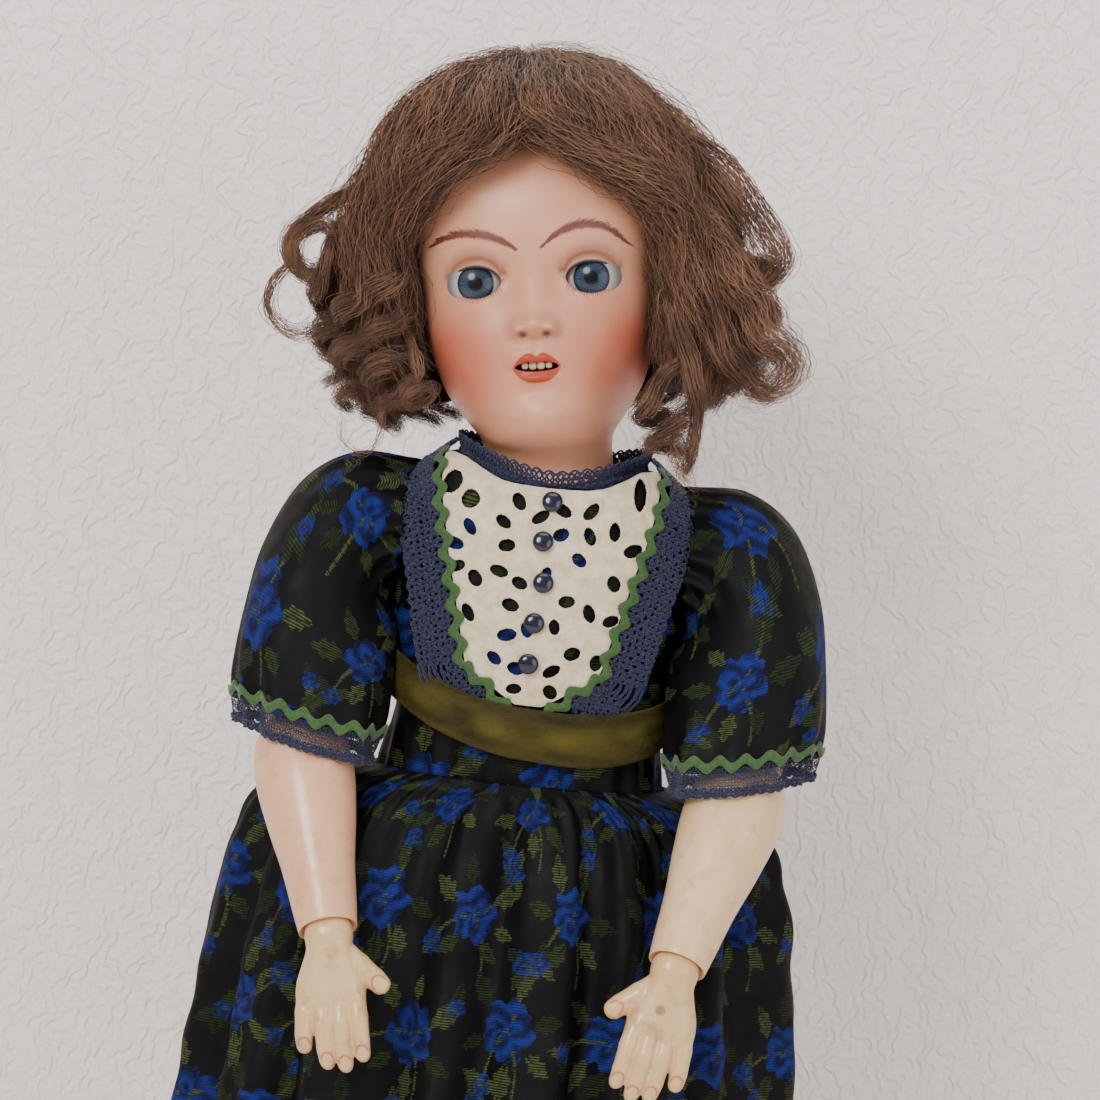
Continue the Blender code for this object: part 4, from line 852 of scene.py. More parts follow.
    for angle in np.linspace(-1.15, 1.15, 11):
        x, y = 8.3 * math.sin(angle), 8.0 * math.cos(angle) + 0.6
        z = 5.4 + 0.6 * math.cos(3 * angle)
        back.append(curl((x, y, z + 2.6), (x * 1.03, y * 1.03, z - 1.4), 1.05, 1.8, 85, 0.5,
                         (x * 0.9, y * 0.95, z + 6.5),
                         0.32 + 0.2 * dice.random(), dice.uniform(0, 6.28), 0.85))
    hair_piece("back_curls", back)


make_wig()


# ---------------------------------------------------------------- brocade
def brocade(u, v, seed, origin=(0.0, 0.0)):
    """Woven flowers at cloth points u across and v down: tint, cover and how openly they are hatched."""
    die = np.random.default_rng(seed)
    u, v = u.reshape(-1) - origin[0], v.reshape(-1) - origin[1]
    tint = np.zeros((len(u), 3))
    cover, hatch = np.zeros(len(u)), np.zeros(len(u))

    def lay(where, mask, colour, open_weave):
        better = mask > cover[where]
        spot = where[better]
        cover[spot] = mask[better]
        tint[spot] = np.broadcast_to(colour, (len(where), 3))[better]
        hatch[spot] = open_weave

    def leaf(foot, angle, size, colour):
        where = np.flatnonzero((np.abs(u - foot[0]) < size * 1.2) & (np.abs(v - foot[1]) < size * 1.2))
        du, dv = u[where] - foot[0], v[where] - foot[1]
        t = (du * math.cos(angle) + dv * math.sin(angle)) / size
        s = (dv * math.cos(angle) - du * math.sin(angle)) / size
        wide = 0.27 * np.sin(math.pi * np.clip(t, 0, 1) ** 0.8) * (1 + 0.18 * np.sin(t * 24))
        mask = ramp(wide - np.abs(s), -0.01, 0.09) * (t > 0) * (t < 1) * (1 - 0.75 * bell(s, 0,
                0.025) * (t < 0.85))
        lay(where, mask, colour, 0.92)

    def stem(a, b, sag):
        middle = (np.asarray(a) + b) / 2 + sag
        t = np.linspace(0, 1, 14)[:, None]
        line = (1 - t) ** 2 * np.asarray(a) + 2 * t * (1 - t) * middle + t * t * np.asarray(b)
        low, high = line.min(0) - 0.3, line.max(0) + 0.3
        where = np.flatnonzero((u > low[0]) & (u < high[0]) & (v > low[1]) & (v < high[1]))
        if len(where):
            gap = np.min(np.hypot(u[where][:, None] - line[:, 0], v[where][:, None] - line[:, 1]), axis=1)
            lay(where, 0.95 * ramp(0.16 - gap, 0, 0.07), linear(74, 86, 44), 0.7)

    def rose(centre, size):
        where = np.flatnonzero((np.abs(u - centre[0]) < size * 1.3) & (np.abs(v - centre[1]) < size * 1.3))
        du, dv = u[where] - centre[0], v[where] - centre[1]
        r, angle = np.hypot(du, dv) / size, np.arctan2(dv, du)
        turn = die.uniform(0, 6.28)
        edge = 1 + 0.08 * np.cos(5 * angle + turn) + 0.06 * np.cos(8 * angle + 2 * turn) + 0.05 * np.cos(13 *
                angle)
        whorl = np.sin(9.5 * r**0.8 + 2.6 * np.sin(2.5 * angle + turn) + angle)
        petal = linear(15, 25, 78) + (linear(34, 50, 132) - linear(15, 25, 78)) * (0.5 + 0.5 * whorl)[:, None]
        petal = blend(petal, linear(20, 28, 80), 0.8 * bell(whorl, -0.6, 0.28))
        lay(where, ramp(edge - r, -0.02, 0.14) * (1 - 0.55 * bell(whorl, -0.75, 0.25)), petal, 0.3)

    step_u, step_v = 6.6, 5.9
    greens = (linear(50, 64, 30), linear(72, 84, 44), linear(38, 50, 24))
    for row in range(int(v.min() // step_v) - 1, int(v.max() // step_v) + 2):
        for column in range(int(u.min() // step_u) - 1, int(u.max() // step_u) + 2):
            centre = np.array([(column + 0.5 * (row % 2)) * step_u, row * step_v]) + die.normal(0, 0.35, 2)
            size = die.uniform(1.35, 1.75)
            lean = die.uniform(-0.5, 0.5)
            bud = centre + np.array([math.cos(lean - 0.9), math.sin(lean - 0.9)]) * 3.3
            second = centre + np.array([math.cos(lean + 2.5), math.sin(lean + 2.5)]) * 3.1
            for end, sag in ((bud, (0.5, 0.4)), (second, (-0.4, -0.5)), (centre + (0.6, 3.4), (0.7, 0))):
                stem(centre, end, np.asarray(sag))
            for angle in (lean + 0.3, lean + 1.2, lean + 2.0, lean + 3.4, lean + 4.3, lean + 5.5):
                foot = centre + np.array([math.cos(angle), math.sin(angle)]) * size * 0.95
                leaf(foot, angle + die.normal(0, 0.35), die.uniform(1.5, 2.3), greens[die.integers(3)])
            for tip in (bud, second):
                for angle in (lean + 0.8, lean + 2.4, lean - 1.6):
                    leaf(tip, angle + die.normal(0, 0.3), die.uniform(1.1, 1.6), greens[die.integers(3)])
                rose(tip, die.uniform(0.5, 0.75))
            rose(centre, size)
    return tint, cover, hatch


def brocade_piece(name, points, thick, wrap, u, v, seed, origin=(0.0, 0.0), keep=None, **more):
    verts, faces = shell(points, thick, wrap)
    if keep is not None:
        faces = faces[keep(verts[faces].mean(1))]
    tint, cover, hatch = brocade(u, v, seed, origin)
    uv = np.stack([u.reshape(-1), v.reshape(-1)], 1)
    double = lambda a: np.concatenate([a, a])
    return piece(name, verts, faces, BROCADE, uv=double(uv), tint=double(tint),
                 cover=np.concatenate([cover, cover * 0.5]), hatch=double(hatch), slot="black_brocade",
                 **more)


# ---------------------------------------------------------------- bodice
BODICE = [(WAIST_Z, 7.1, 5.3, 4.9)] + [(z, h + 0.42, f + 0.6, b + 0.6) for z, h, f, b in TORSO if z > 40]
BODICE += [(52.75, 6.3, 4.4, 4.35), (53.15, 4.9, 4.25, 4.2)]


def rise(x, z):
    """The dress climbs toward the neck at the sides."""
    return 1.15 * bell(np.abs(x), 5.0, 1.7) * ramp(z, 51.3, 53.1)


def on_bodice(angle, z, lift=0.0):
    """The point of the bodice at an angle from its front and a height, and the way out of the cloth there."""
    angle, z = np.broadcast_arrays(np.asarray(angle, float), np.asarray(z, float))
    place = []
    for shift in (0.0, 0.05):
        half, front, back = np.moveaxis(rows_at(z - shift, BODICE), -1, 0)
        x, y = oval(angle, half, front, back)
        place.append(np.stack([x, y, z - shift + rise(x, z - shift)], -1))
    x, y = oval(angle + 0.02, *np.moveaxis(rows_at(z, BODICE), -1, 0))
    across = np.stack([x, y, z + rise(x, z)], -1) - place[0]
    out = unit(np.cross(across, place[0] - place[1]))
    return place[0] + out * np.asarray(lift)[..., None], out


def front_angle(x, z):
    """The angle at which the bodice's front passes x."""
    half = rows_at(np.asarray(z, float), BODICE)[..., 0]
    return np.sign(x) * np.arcsin(np.minimum(np.abs(x) / half, 0.999) ** 1.2)


def make_bodice():
    rows, columns = 170, 460
    zs = np.linspace(WAIST_Z - 0.2, 53.15, rows)
    table = rows_at(zs, BODICE)
    points, u = np.zeros((rows, columns, 3)), np.zeros((rows, columns))
    for k, (half, front, back) in enumerate(table):
        ring, girth = even_ring(half, front, back, 2.4, 2.4, columns)
        points[k, :, :2], points[k, :, 2] = ring, zs[k] + rise(ring[:, 0], zs[k])
        u[k] = (np.arange(columns) / columns - 0.5) * girth
    v = np.broadcast_to(53.15 - zs[:, None], u.shape)
    fold = 0.07 * ripple(u, v, 5, 1.2) + 0.1 * ramp(zs, 41.5, 39.2)[:,
                                                                    None] * np.cos(u * 4.2 + ripple(u, v, 6,
                                                                            2.0))
    points += grid_normals(points) * fold[..., None]

    def keep(middle):
        return ~((np.hypot(middle[:, 1], middle[:, 2] - SHOULDER[2]) < 2.8) & (np.abs(middle[:, 0]) > 6.2))

    brocade_piece("bodice_cloth", points, 0.22, True, u, v, 21, (2.0, 3.0), keep, body="torso",
                  replaces=["bodice"])


make_bodice()


def ribbon(centre, across, out, half, thick, wave=(0.0, 1.0), steps=7):
    """Verts and faces of a band along a line; wave swings it from side to side."""
    run = np.concatenate([[0], np.cumsum(np.linalg.norm(np.diff(centre, axis=0), axis=1))])
    swing = wave[0] * np.sin(2 * math.pi * run / wave[1])
    share = np.linspace(-1, 1, steps)
    offset = swing[:, None] + half * share[None]
    crown = thick * (1 - 0.75 * share**4)
    points = centre[:, None] + across[:, None] * offset[..., None] + out[:, None] * crown[None, :, None]
    count = points.shape[0] * steps
    under = centre[:, None] + across[:, None] * offset[..., None] - out[:, None] * 0.01
    faces = grid(len(centre), steps, False)
    sides = []
    up = np.arange(len(centre) - 1) * steps
    for column in (0, steps - 1):
        sides.append(np.stack([up + column, up + column + steps, count + up + column + steps,
                               count + up + column], 1))
    return np.concatenate([points.reshape(-1, 3), under.reshape(-1, 3)]), np.concatenate([faces,
            faces[:, ::-1] + count] + sides)


def crochet(centre, across, out, low, high, threads, pitch, radius, edge=0.16, sides=5, seed=1):
    """Looping threads between offsets low and high across a line, with picots along the high edge."""
    die = np.random.default_rng(seed)
    run = np.concatenate([[0], np.cumsum(np.linalg.norm(np.diff(centre, axis=0), axis=1))])
    lines = []
    gap = (high - low) / threads
    for number in range(threads + 1):
        for way in (0, math.pi):
            middle = low + gap * number
            swing = gap * 0.62 * np.sin(2 * math.pi * run / pitch + way + math.pi * number)
            swing = swing + 0.25 * gap * ripple(run, number + way, seed, 0.4)
            height = radius * (1.2 + np.cos(4 * math.pi * run / pitch + way)) + die.normal(0, radius * 0.2)
            lines.append(centre + across * (middle + swing)[:, None] + out * height[:, None])
    picot = high + edge * np.abs(np.sin(math.pi * run / (pitch * 1.15)))
    lines.append(centre + across * (picot + gap * 0.3)[:, None] + out * radius)
    return tubes(np.array(lines), radius, sides)


def bib_half(z):
    share = (52.2 - z) / 9.6
    return np.where(share < 0.85, 5.1 - 2.4 * share, 3.06 - 2.3 * (share - 0.85) / 0.15)


EYELET_RINGS = ((-3.05, 49.6, 1.3, 7, 0.2), (3.0, 49.9, 1.3, 7, 0.5), (0.0, 47.4, 1.35, 6, 0.3),
                (-2.6, 45.6, 1.25, 6, 0.1),
                (2.7, 46.0, 1.2, 6, 0.8), (0.1, 43.7, 1.0, 6, 0.5), (-1.2, 51.3, 0.9, 4, 0.2),
                (1.4, 51.4, 0.9, 4, 0.9),
                (-4.4, 51.6, 0.7, 4, 0.4), (4.4, 51.7, 0.7, 4, 0.1), (-3.9, 47.0, 0.6, 3, 0.9),
                (3.8, 47.6, 0.5, 3, 0.2))


def make_bib():
    rows, columns = 270, 290
    zs = np.linspace(42.45, 52.95, rows)
    half = bib_half(np.minimum(zs, 52.2)) + 0.12
    x = np.linspace(-1, 1, columns)[None] * half[:, None]
    z = np.broadcast_to(zs[:, None], x.shape) + 0.0
    holes = []
    for cx, cz, ring, petals, turn in EYELET_RINGS:
        for k in range(petals):
            angle = turn + 2 * math.pi * k / petals + dice.normal(0, 0.08)
            spot = (cx + ring * math.cos(angle), cz + ring * math.sin(angle), angle + dice.normal(0, 0.5))
            if abs(spot[0]) < bib_half(min(spot[1], 52.2)) - 0.15 and 42.9 < spot[1] < 52.7 and \
                    all(math.hypot(spot[0] - h[0], spot[1] - h[1]) > 0.94 for h in holes):
                holes.append(spot)
    gap = np.full(x.shape, 9.0)
    for hx, hz, angle in holes:
        long, short = dice.uniform(0.38, 0.5), dice.uniform(0.26, 0.32)
        a = ((x - hx) * math.cos(angle) + (z - hz) * math.sin(angle)) / long
        b = ((z - hz) * math.cos(angle) - (x - hx) * math.sin(angle)) / short
        gap = np.minimum(gap, (np.sqrt(a * a + b * b) - 1) * short)
    lift = 0.26 + 0.05 * bell(gap, 0.07, 0.06) + 0.035 * ripple(x, z, 4, 0.7) + 0.012 * ripple(x, z, 8, 0.12)
    points, _ = on_bodice(front_angle(x, z), z, lift)
    verts, faces = shell(points, 0.07, False)
    count = rows * columns
    inside = gap.reshape(-1)
    keep = inside[faces % count].mean(1) > 0
    piece("bib_eyelet", verts, faces[keep], EYELET, "torso", "ivory_eyelet", ["eyelet_bib"])


make_bib()


def bodice_line(side, x_of, top, bottom, count, lift):
    """A line down one side of the bib: its points, the way across it and the way out."""
    z = np.linspace(top, bottom, count)
    centre, out = on_bodice(front_angle(side * x_of(z), z), z, lift)
    along = unit(np.gradient(centre, axis=0))
    return centre, unit(np.cross(out, along)) * side, out


def over_shoulder(side, angles, heights, count, lift):
    """A line given by angle and height on the bodice, front to back."""
    t = np.linspace(0, len(angles) - 1, count)
    angle = curve(t, np.arange(len(angles)), np.radians(angles))
    z = curve(t, np.arange(len(angles)), heights)
    centre, out = on_bodice(side * angle, z, lift)
    along = unit(np.gradient(centre, axis=0))
    return centre, unit(np.cross(out, along)) * side, out


def make_trims():
    for side, word in SIDES:
        edge = bodice_line(side, lambda z: bib_half(np.minimum(z, 52.2)) + 0.22 + 0.6 * ramp(z, 43.6, 42.2),
                           53.0, 41.9, 520, 0.36)
        piece(f"{word}_rickrack", *ribbon(*edge, 0.26, 0.08, (0.2, 1.3)), GREEN, "torso", "ivory_eyelet")
        band = bodice_line(side, lambda z: bib_half(np.minimum(z, 52.2)) + 0.55 + 0.9 * ramp(z, 44.2, 41.8),
                           52.4, 42.6, 420, 0.14)
        parts = [crochet(*band, -0.1, 1.75, 6, 0.62, 0.072, seed=3 + side)]
        top = over_shoulder(side, (52, 64, 82, 100, 122, 140, 150, 155),
                            (51.6, 52.4, 52.9, 52.9, 52.4, 50.5, 47.5, 43.6), 420, 0.16)
        parts.append(crochet(*top, -0.9, 0.9, 6, 0.62, 0.072, seed=5 + side))
        piece(f"{word}_crochet_lace", *joined(parts), NAVY, "torso", "black_brocade")

    turn = np.linspace(math.pi, 3 * math.pi, 700)
    level = 52.85 + 1.35 * np.abs(np.sin(turn)) ** 1.5 + 0.5 * np.maximum(-np.cos(turn), 0)
    ring = lambda radius, z: np.stack([PIVOT[0] + radius * np.sin(turn), PIVOT[1] - radius * np.cos(turn),
                                       z], 1)
    out = np.stack([np.sin(turn), -np.cos(turn), np.zeros(700)], 1)
    lean = unit(np.stack([0.35 * np.sin(turn), -0.35 * np.cos(turn), np.ones(700)], 1))
    base = ring(4.45, level)
    parts = [crochet(base, lean, out, 0.0, 0.8, 3, 0.5, 0.055, 0.2, seed=9)]
    wave = ring(4.5, level - 0.1)
    parts.append(crochet(wave, np.tile((0.0, 0.0, 1.0), (700, 1)), out, -0.22, 0.22, 2, 0.4, 0.085, 0.05,
                         seed=12))
    piece("collar_lace", *joined(parts), NAVY, "torso", "black_brocade")
    low = ring(4.62, level - 0.45)
    piece("collar_band", *ribbon(low, unit(np.stack([0.5 * np.sin(turn), -0.5 * np.cos(turn), -np.ones(700)],
                                                    1)), out,
                                 0.34, 0.05), GREEN, "torso", "ivory_eyelet", ["neck_band"])

    for number in range(5):
        z = 52.3 - 1.95 * number
        x = (0.15, -0.1, 0.12, -0.12, -0.2)[number]
        centre, out = on_bodice(front_angle(np.array([x]), np.array([z])), np.array([z]), 0.33)
        polar = np.concatenate([[0.0, 0.25, 0.4, 0.465, 0.48, 0.48, 0.45, 0.38, 0.28, 0.16, 0.05]])
        height = np.array([0.0, 0.0, 0.02, 0.06, 0.1, 0.16, 0.22, 0.28, 0.32, 0.345, 0.35])
        angle = np.arange(40) * 2 * math.pi / 40
        a = unit(np.cross(out[0], (0, 0, 1.0)))
        b = np.cross(out[0], a)
        points = centre[0] + 1.06 * polar[:, None, None] * (np.cos(angle)[:, None] * a + np.sin(angle)[:,
                None] * b) + \
            height[:, None, None] * out[0]
        piece(f"dome_button_{number + 1}", *lathe(points), BUTTON, "torso", "button_glass",
              [f"button_{number + 1}"])

    turn = np.linspace(math.pi, 3 * math.pi, 400, endpoint=False)
    steps = np.linspace(-1, 1, 30)
    level = 43.1 - 2.0 * np.maximum(np.cos(turn), 0) ** 1.5 - 0.75 * np.sin(turn)
    points = []
    for share in steps:
        z = level + 1.25 * share * (1 + 0.05 * np.sin(3 * turn))
        lift = 0.66 - 0.1 * share**2 + 0.05 * ripple(4 * turn, 3 * share + 0 * turn, 14,
                                                     1.0) + 0.08 * bell(share, -1, 0.15)
        points.append(on_bodice(turn, z, lift)[0])
    points = np.array(points)
    worn = np.clip(0.25 * bell(steps, 0, 0.5)[:, None] * (1 + ripple(9 * turn[None], 3 * steps[:, None], 15,
                                                                     1.0)), 0, 0.6)
    verts, faces = shell(points, 0.14)
    sash = piece("sash_velvet", verts, faces, VELVET, "torso", "olive_velvet", ["velvet_sash"],
                 worn=np.concatenate([worn.reshape(-1)] * 2))


make_trims()

# ---------------------------------------------------------------- sleeves
# inner and outer edge of each ring seen from the front, middle y and half depth
SLEEVE = (((7.2, 46.9), (7.0, 53.7), 0.0, 3.4), ((7.2, 46.2), (9.7, 53.7), -0.3, 3.8),
          ((7.1, 45.3), (12.2, 52.0), -1.1, 4.1),
          ((7.0, 44.2), (13.8, 48.8), -1.9, 4.2), ((7.0, 42.9), (14.4, 45.4), -2.7, 4.2),
          ((7.1, 41.4), (14.5, 42.9), -3.4, 4.1),
          ((7.4, 39.9), (14.3, 41.2), -3.9, 3.9))


def on_sleeve(side, share, turn, lift=0.0):
    """The sleeve's surface, from its head (0) to its hem (1), and turn round from its outer edge."""
    share, turn = np.broadcast_arrays(share, turn)
    key = np.linspace(0, 1, len(SLEEVE))
    low, high = (curve(share, key, [row[k] for row in SLEEVE]) for k in (0, 1))
    y, depth = (curve(share, key, [row[k] for row in SLEEVE]) for k in (2, 3))
    middle = (low + high) / 2
    half = (high - low) / 2
    half = half * (1 + lift / np.maximum(np.linalg.norm(half, axis=-1), 1))[..., None]
    c, s = np.cos(turn), np.sin(turn)
    gather = 0.26 * ramp(share, 0.42, 0.02) * np.cos(17 * turn + 1.3 * np.sin(3 * turn)) + \
        0.14 * ramp(share, 0.5, 1.0) * np.cos(11 * turn + np.sin(2 * turn)) + 0.26 * ripple(2.4 * turn,
                6 * share, 31, 1.0) + \
        0.15 * ripple(4.5 * turn + 5 * share, 9 * share, 33, 1.0) * ramp(share, 0.0, 0.3)
    x = middle[..., 0] + c * (half[..., 0] + gather)
    z = middle[..., 1] + c * half[..., 1]
    y = y + s * (depth + lift + gather)
    return np.stack([side * x, y, z], -1)


ARMHOLE_R = SHOULDER_R + 0.22


def make_armhole(side, word):
    """The cloth over the shoulder ball, seen in the armhole when the arm is lifted."""
    polar, turn = np.meshgrid(np.linspace(math.pi - 0.1, 0.1, 60),
                              np.linspace(0, 2 * math.pi, 120, endpoint=False), indexing="ij")
    way = np.stack([np.sin(polar) * np.cos(turn), np.sin(polar) * np.sin(turn), np.cos(polar)], -1)
    crease = 0.03 * np.cos(24 * turn + 2 * np.sin(3 * turn)) * np.sin(polar)
    points = mirrored(SHOULDER, side) + way * (ARMHOLE_R + crease)[..., None]
    brocade_piece(f"{word}_armhole_cloth", points, 0.06, True, ARMHOLE_R * turn, ARMHOLE_R * polar,
                  90 + side, (2.0, 1.0),
                  body=f"{word}_shoulder_ball")


def make_sleeves():
    for side, word in SIDES:
        make_armhole(side, word)
        rows, columns = 130, 300
        share, turn = np.meshgrid(np.linspace(1, 0, rows),
                                  np.linspace(0, 2 * math.pi, columns, endpoint=False), indexing="ij")
        points = on_sleeve(side, share, turn)
        if side < 0:
            points = points[:, ::-1]
            turn = turn[:, ::-1]
        u = 4.1 * (turn if side > 0 else -turn)
        v = 13.5 * share
        cloth = brocade_piece(f"{word}_sleeve_cloth", points, 0.15, True, u, v, 40 + side, (1.0 + side, 2.4),
                              replaces=[f"{word}_sleeve"])
        ring = np.linspace(0, 2 * math.pi, 460)
        centre = on_sleeve(side, 0.955, ring, 0.08)
        below = on_sleeve(side, 0.995, ring, 0.08)
        down = unit(below - centre)
        along = unit(np.gradient(centre, axis=0))
        out = unit(np.cross(along, down))
        out *= np.sign(((centre - centre.mean(0)) * out).sum(1, keepdims=True).mean())
        trim = piece(f"{word}_sleeve_rickrack", *ribbon(centre, down, out, 0.26, 0.08, (0.2, 1.3)), GREEN,
                     slot="ivory_eyelet")
        hem = on_sleeve(side, 0.985, ring, 0.0)
        lace = piece(f"{word}_sleeve_lace", *joined([crochet(hem, down, out, 0.0, 1.0, 7, 0.3, 0.022, 0.1, 3,
                                                             50),
                                                     crochet(hem + down * 1.05, down, out, 0.0, 0.16, 1,
                                                             0.42, 0.06, 0.12, 4, 51)]),
                     NAVY, slot="black_brocade")
        for obj in (cloth, trim, lace):
            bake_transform(obj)


make_sleeves()

# ---------------------------------------------------------------- skirt and underclothes
SKIRT = [(38.45, 7.2, 5.55, 5.05, 0.0, 2.4), (37.7, 10.3, 6.2, 6.4, 0.1, 1.9),
         (36.6, 12.2, 6.7, 7.8, 0.25, 1.75),
         (34.0, 13.6, 7.6, 9.2, 0.35, 1.7), (30.0, 14.3, 8.4, 10.0, 0.4, 1.7),
         (24.0, 14.9, 9.0, 10.8, 0.45, 1.7),
         (18.0, 15.3, 9.6, 11.4, 0.5, 1.7), (HEM_Z, 15.5, 10.0, 11.8, 0.5, 1.7)]


def make_skirt():
    rows, columns = 220, 760
    zs = np.linspace(HEM_Z, 38.5, rows)
    table = rows_at(zs, SKIRT)
    points = np.zeros((rows, columns, 3))
    for k, (half, front, back, _, power) in enumerate(table):
        ring, _ = even_ring(half, front, back, power, 2.2, columns)
        points[k] = np.concatenate([ring, np.full((columns, 1), zs[k])], 1)
    out = grid_normals(points)
    share = np.broadcast_to(np.arange(columns) / columns * 2 * math.pi, (rows, columns))
    fall = np.broadcast_to((38.5 - zs)[:, None], share.shape)
    bent_turn = share + 0.05 * np.sin(3 * share + 1) + 0.012 * ripple(3 * share, fall / 6, 61, 1.0)
    deep = table[:, 3][:, None]
    wide_fold = np.cos(15 * bent_turn + 1.1 * np.sin(2 * share) + 0.6)
    sway = 1.0 * wide_fold - 0.22 * (1 - wide_fold) ** 2 + 0.5 * np.cos(27 * bent_turn + 2.0 + 0.05 *
                                                                        fall) + \
        0.5 * np.cos(7 * bent_turn + 1)
    fine = 0.15 * ramp(fall, 0.2, 1.0) * np.exp(-fall / 3.5) * np.cos(58 * bent_turn + 2.2 *
                                                                      np.sin(5 * share))
    crumple = 0.09 * ripple(share * 14, fall * 0.8, 63, 1.0)
    points = points + out * (deep * sway + fine + crumple * ramp(fall, 1, 4))[..., None]
    full = np.linalg.norm(np.diff(points[0], axis=0, append=points[0][:1]), axis=1).sum()
    u = (share / (2 * math.pi) - 0.5) * full
    drop = np.concatenate([[0], np.cumsum(np.linalg.norm(np.diff(points[::-1], axis=0),
                                                         axis=2).mean(1))])[::-1]
    v = np.broadcast_to(drop[:, None], u.shape)
    skirt = brocade_piece("skirt_cloth", points, 0.12, True, u, v, 73, (1.2, 2.6), body="torso",
                          replaces=["skirt"])

    zs = np.linspace(HEM_Z - 1.2, 37.4, 120)
    lines = [(37.4, 7.5, 5.85, 5.75, 2.4), (36.4, 9.2, 5.95, 6.6, 2.0), (34.0, 12.0, 6.7, 8.2, 1.75),
             (30.0, 12.9, 7.4, 9.0, 1.7), (22.0, 13.4, 8.1, 9.8, 1.7), (HEM_Z - 1.2, 13.8, 8.8, 10.6, 1.7)]
    points = np.zeros((120, 420, 3))
    for k, (half, front, back, power) in enumerate(rows_at(zs, lines)):
        ring, _ = even_ring(half, front, back, power, 2.2, 420)
        points[k] = np.concatenate([ring, np.full((420, 1), zs[k])], 1)
    turn = np.arange(420) / 420 * 2 * math.pi
    wave = 0.22 * np.cos(23 * turn)[None] * ramp(zs, 37.4, 28)[:, None] + 0.1 * ramp(zs, 15, 11.8)[:,
            None] * np.cos(60 * turn)[None]
    points = points + grid_normals(points) * (wave - 1.2 * ramp(zs, 37.2, 33.0)[:, None])[..., None]
    under = piece("petticoat_cloth", *shell(points, 0.1), COTTON, "torso", "white_cotton", ["petticoat"])
    full = np.linalg.norm(np.diff(points[0], axis=0, append=points[0][:1]), axis=1).sum()
    drop = np.linalg.norm(np.diff(points, axis=0), axis=2).sum(0).mean()


make_skirt()


def make_drawers():
    """Gathered cotton drawers: the seat on the torso, and a leg round each thigh."""
    zs = np.linspace(28.6, 37.2, 60)
    lines = [(28.6, 8.7, 5.15, 5.45, 2.2), (32.0, 8.6, 5.35, 5.7, 2.2), (35.0, 7.5, 5.4, 5.45, 2.2),
             (37.2, 7.0, 5.4, 5.4, 2.2)]
    seat = np.zeros((60, 300, 3))
    for k, (half, front, back, power) in enumerate(rows_at(zs, lines)):
        ring, _ = even_ring(half, front, back, power, 2.2, 300)
        seat[k] = np.concatenate([ring, np.full((300, 1), zs[k])], 1)
    turn = np.arange(300) / 300 * 2 * math.pi
    pleat = 0.09 * np.cos(34 * turn + np.sin(3 * turn))[None] * ramp(zs, 30, 36.8)[:, None]
    seat = seat + grid_normals(seat) * (pleat + 0.06 * ripple(4 * turn[None], zs[:, None] / 2, 81))[..., None]
    cloth = piece("drawers_seat", *shell(seat, 0.08), COTTON, "torso", "white_cotton", ["drawers"])

    zs = np.linspace(20.6, 30.6, 110)
    turn = np.arange(240) / 240 * 2 * math.pi
    for side, word in SIDES:
        radius = curve(zs, [20.6, 21.6, 22.0, 23.5, 27, 30.6], [4.1, 3.75, 3.6, 3.8, 3.95, 3.9])[:, None]
        radius = radius + 0.14 * np.cos(26 * turn + 1.2 * np.sin(2 * turn))[None] * ramp(zs, 25.5, 21.2)[:,
                None]
        radius = radius + 0.07 * ripple(4 * turn[None], zs[:, None] / 2, 85 + side)
        leg = np.stack([side * 4.62 + radius * np.cos(turn), 0.2 + radius * 1.02 * np.sin(turn),
                        np.broadcast_to(zs[:, None], radius.shape)], -1)
        cloth = piece(f"{word}_drawers_leg", *shell(leg, 0.08), COTTON, slot="white_cotton")
        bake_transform(cloth)


make_drawers()


# ---------------------------------------------------------------- limbs
def turned_limb(start, end, outline, rows=110, columns=72, flat=1.0, ball_start=1.7, ball_end=1.2):
    """A smooth limb: outline gives distance from start and radius; its ends turn in toward the joints."""
    start, end = np.asarray(start, float), np.asarray(end, float)
    axis = unit(end - start)
    a = unit(np.cross(axis, (0.0, 1.0, 0.2)))
    b = np.cross(axis, a)
    outline = np.asarray(outline, float)
    at = np.linspace(outline[0, 0], outline[-1, 0], rows)
    radius = curve(at, outline[:, 0], outline[:, 1])
    lip = 0.09
    at = np.concatenate([[outline[0, 0] + 0.25, outline[0, 0] + 0.05, outline[0, 0] - lip * 0.4], at,
                         [outline[-1, 0] + lip * 0.4, outline[-1, 0] - 0.05, outline[-1, 0] - 0.35]])
    radius = np.concatenate([[ball_start * 0.8, radius[0] - lip * 1.6, radius[0] - lip * 0.5], radius,
                             [radius[-1] - lip * 0.5, radius[-1] - lip * 1.6, ball_end * 0.85]])
    turn = np.arange(columns) * 2 * math.pi / columns
    ring = np.cos(turn)[:, None] * a + flat * np.sin(turn)[:, None] * b
    return start + at[:, None, None] * axis + radius[:, None, None] * ring


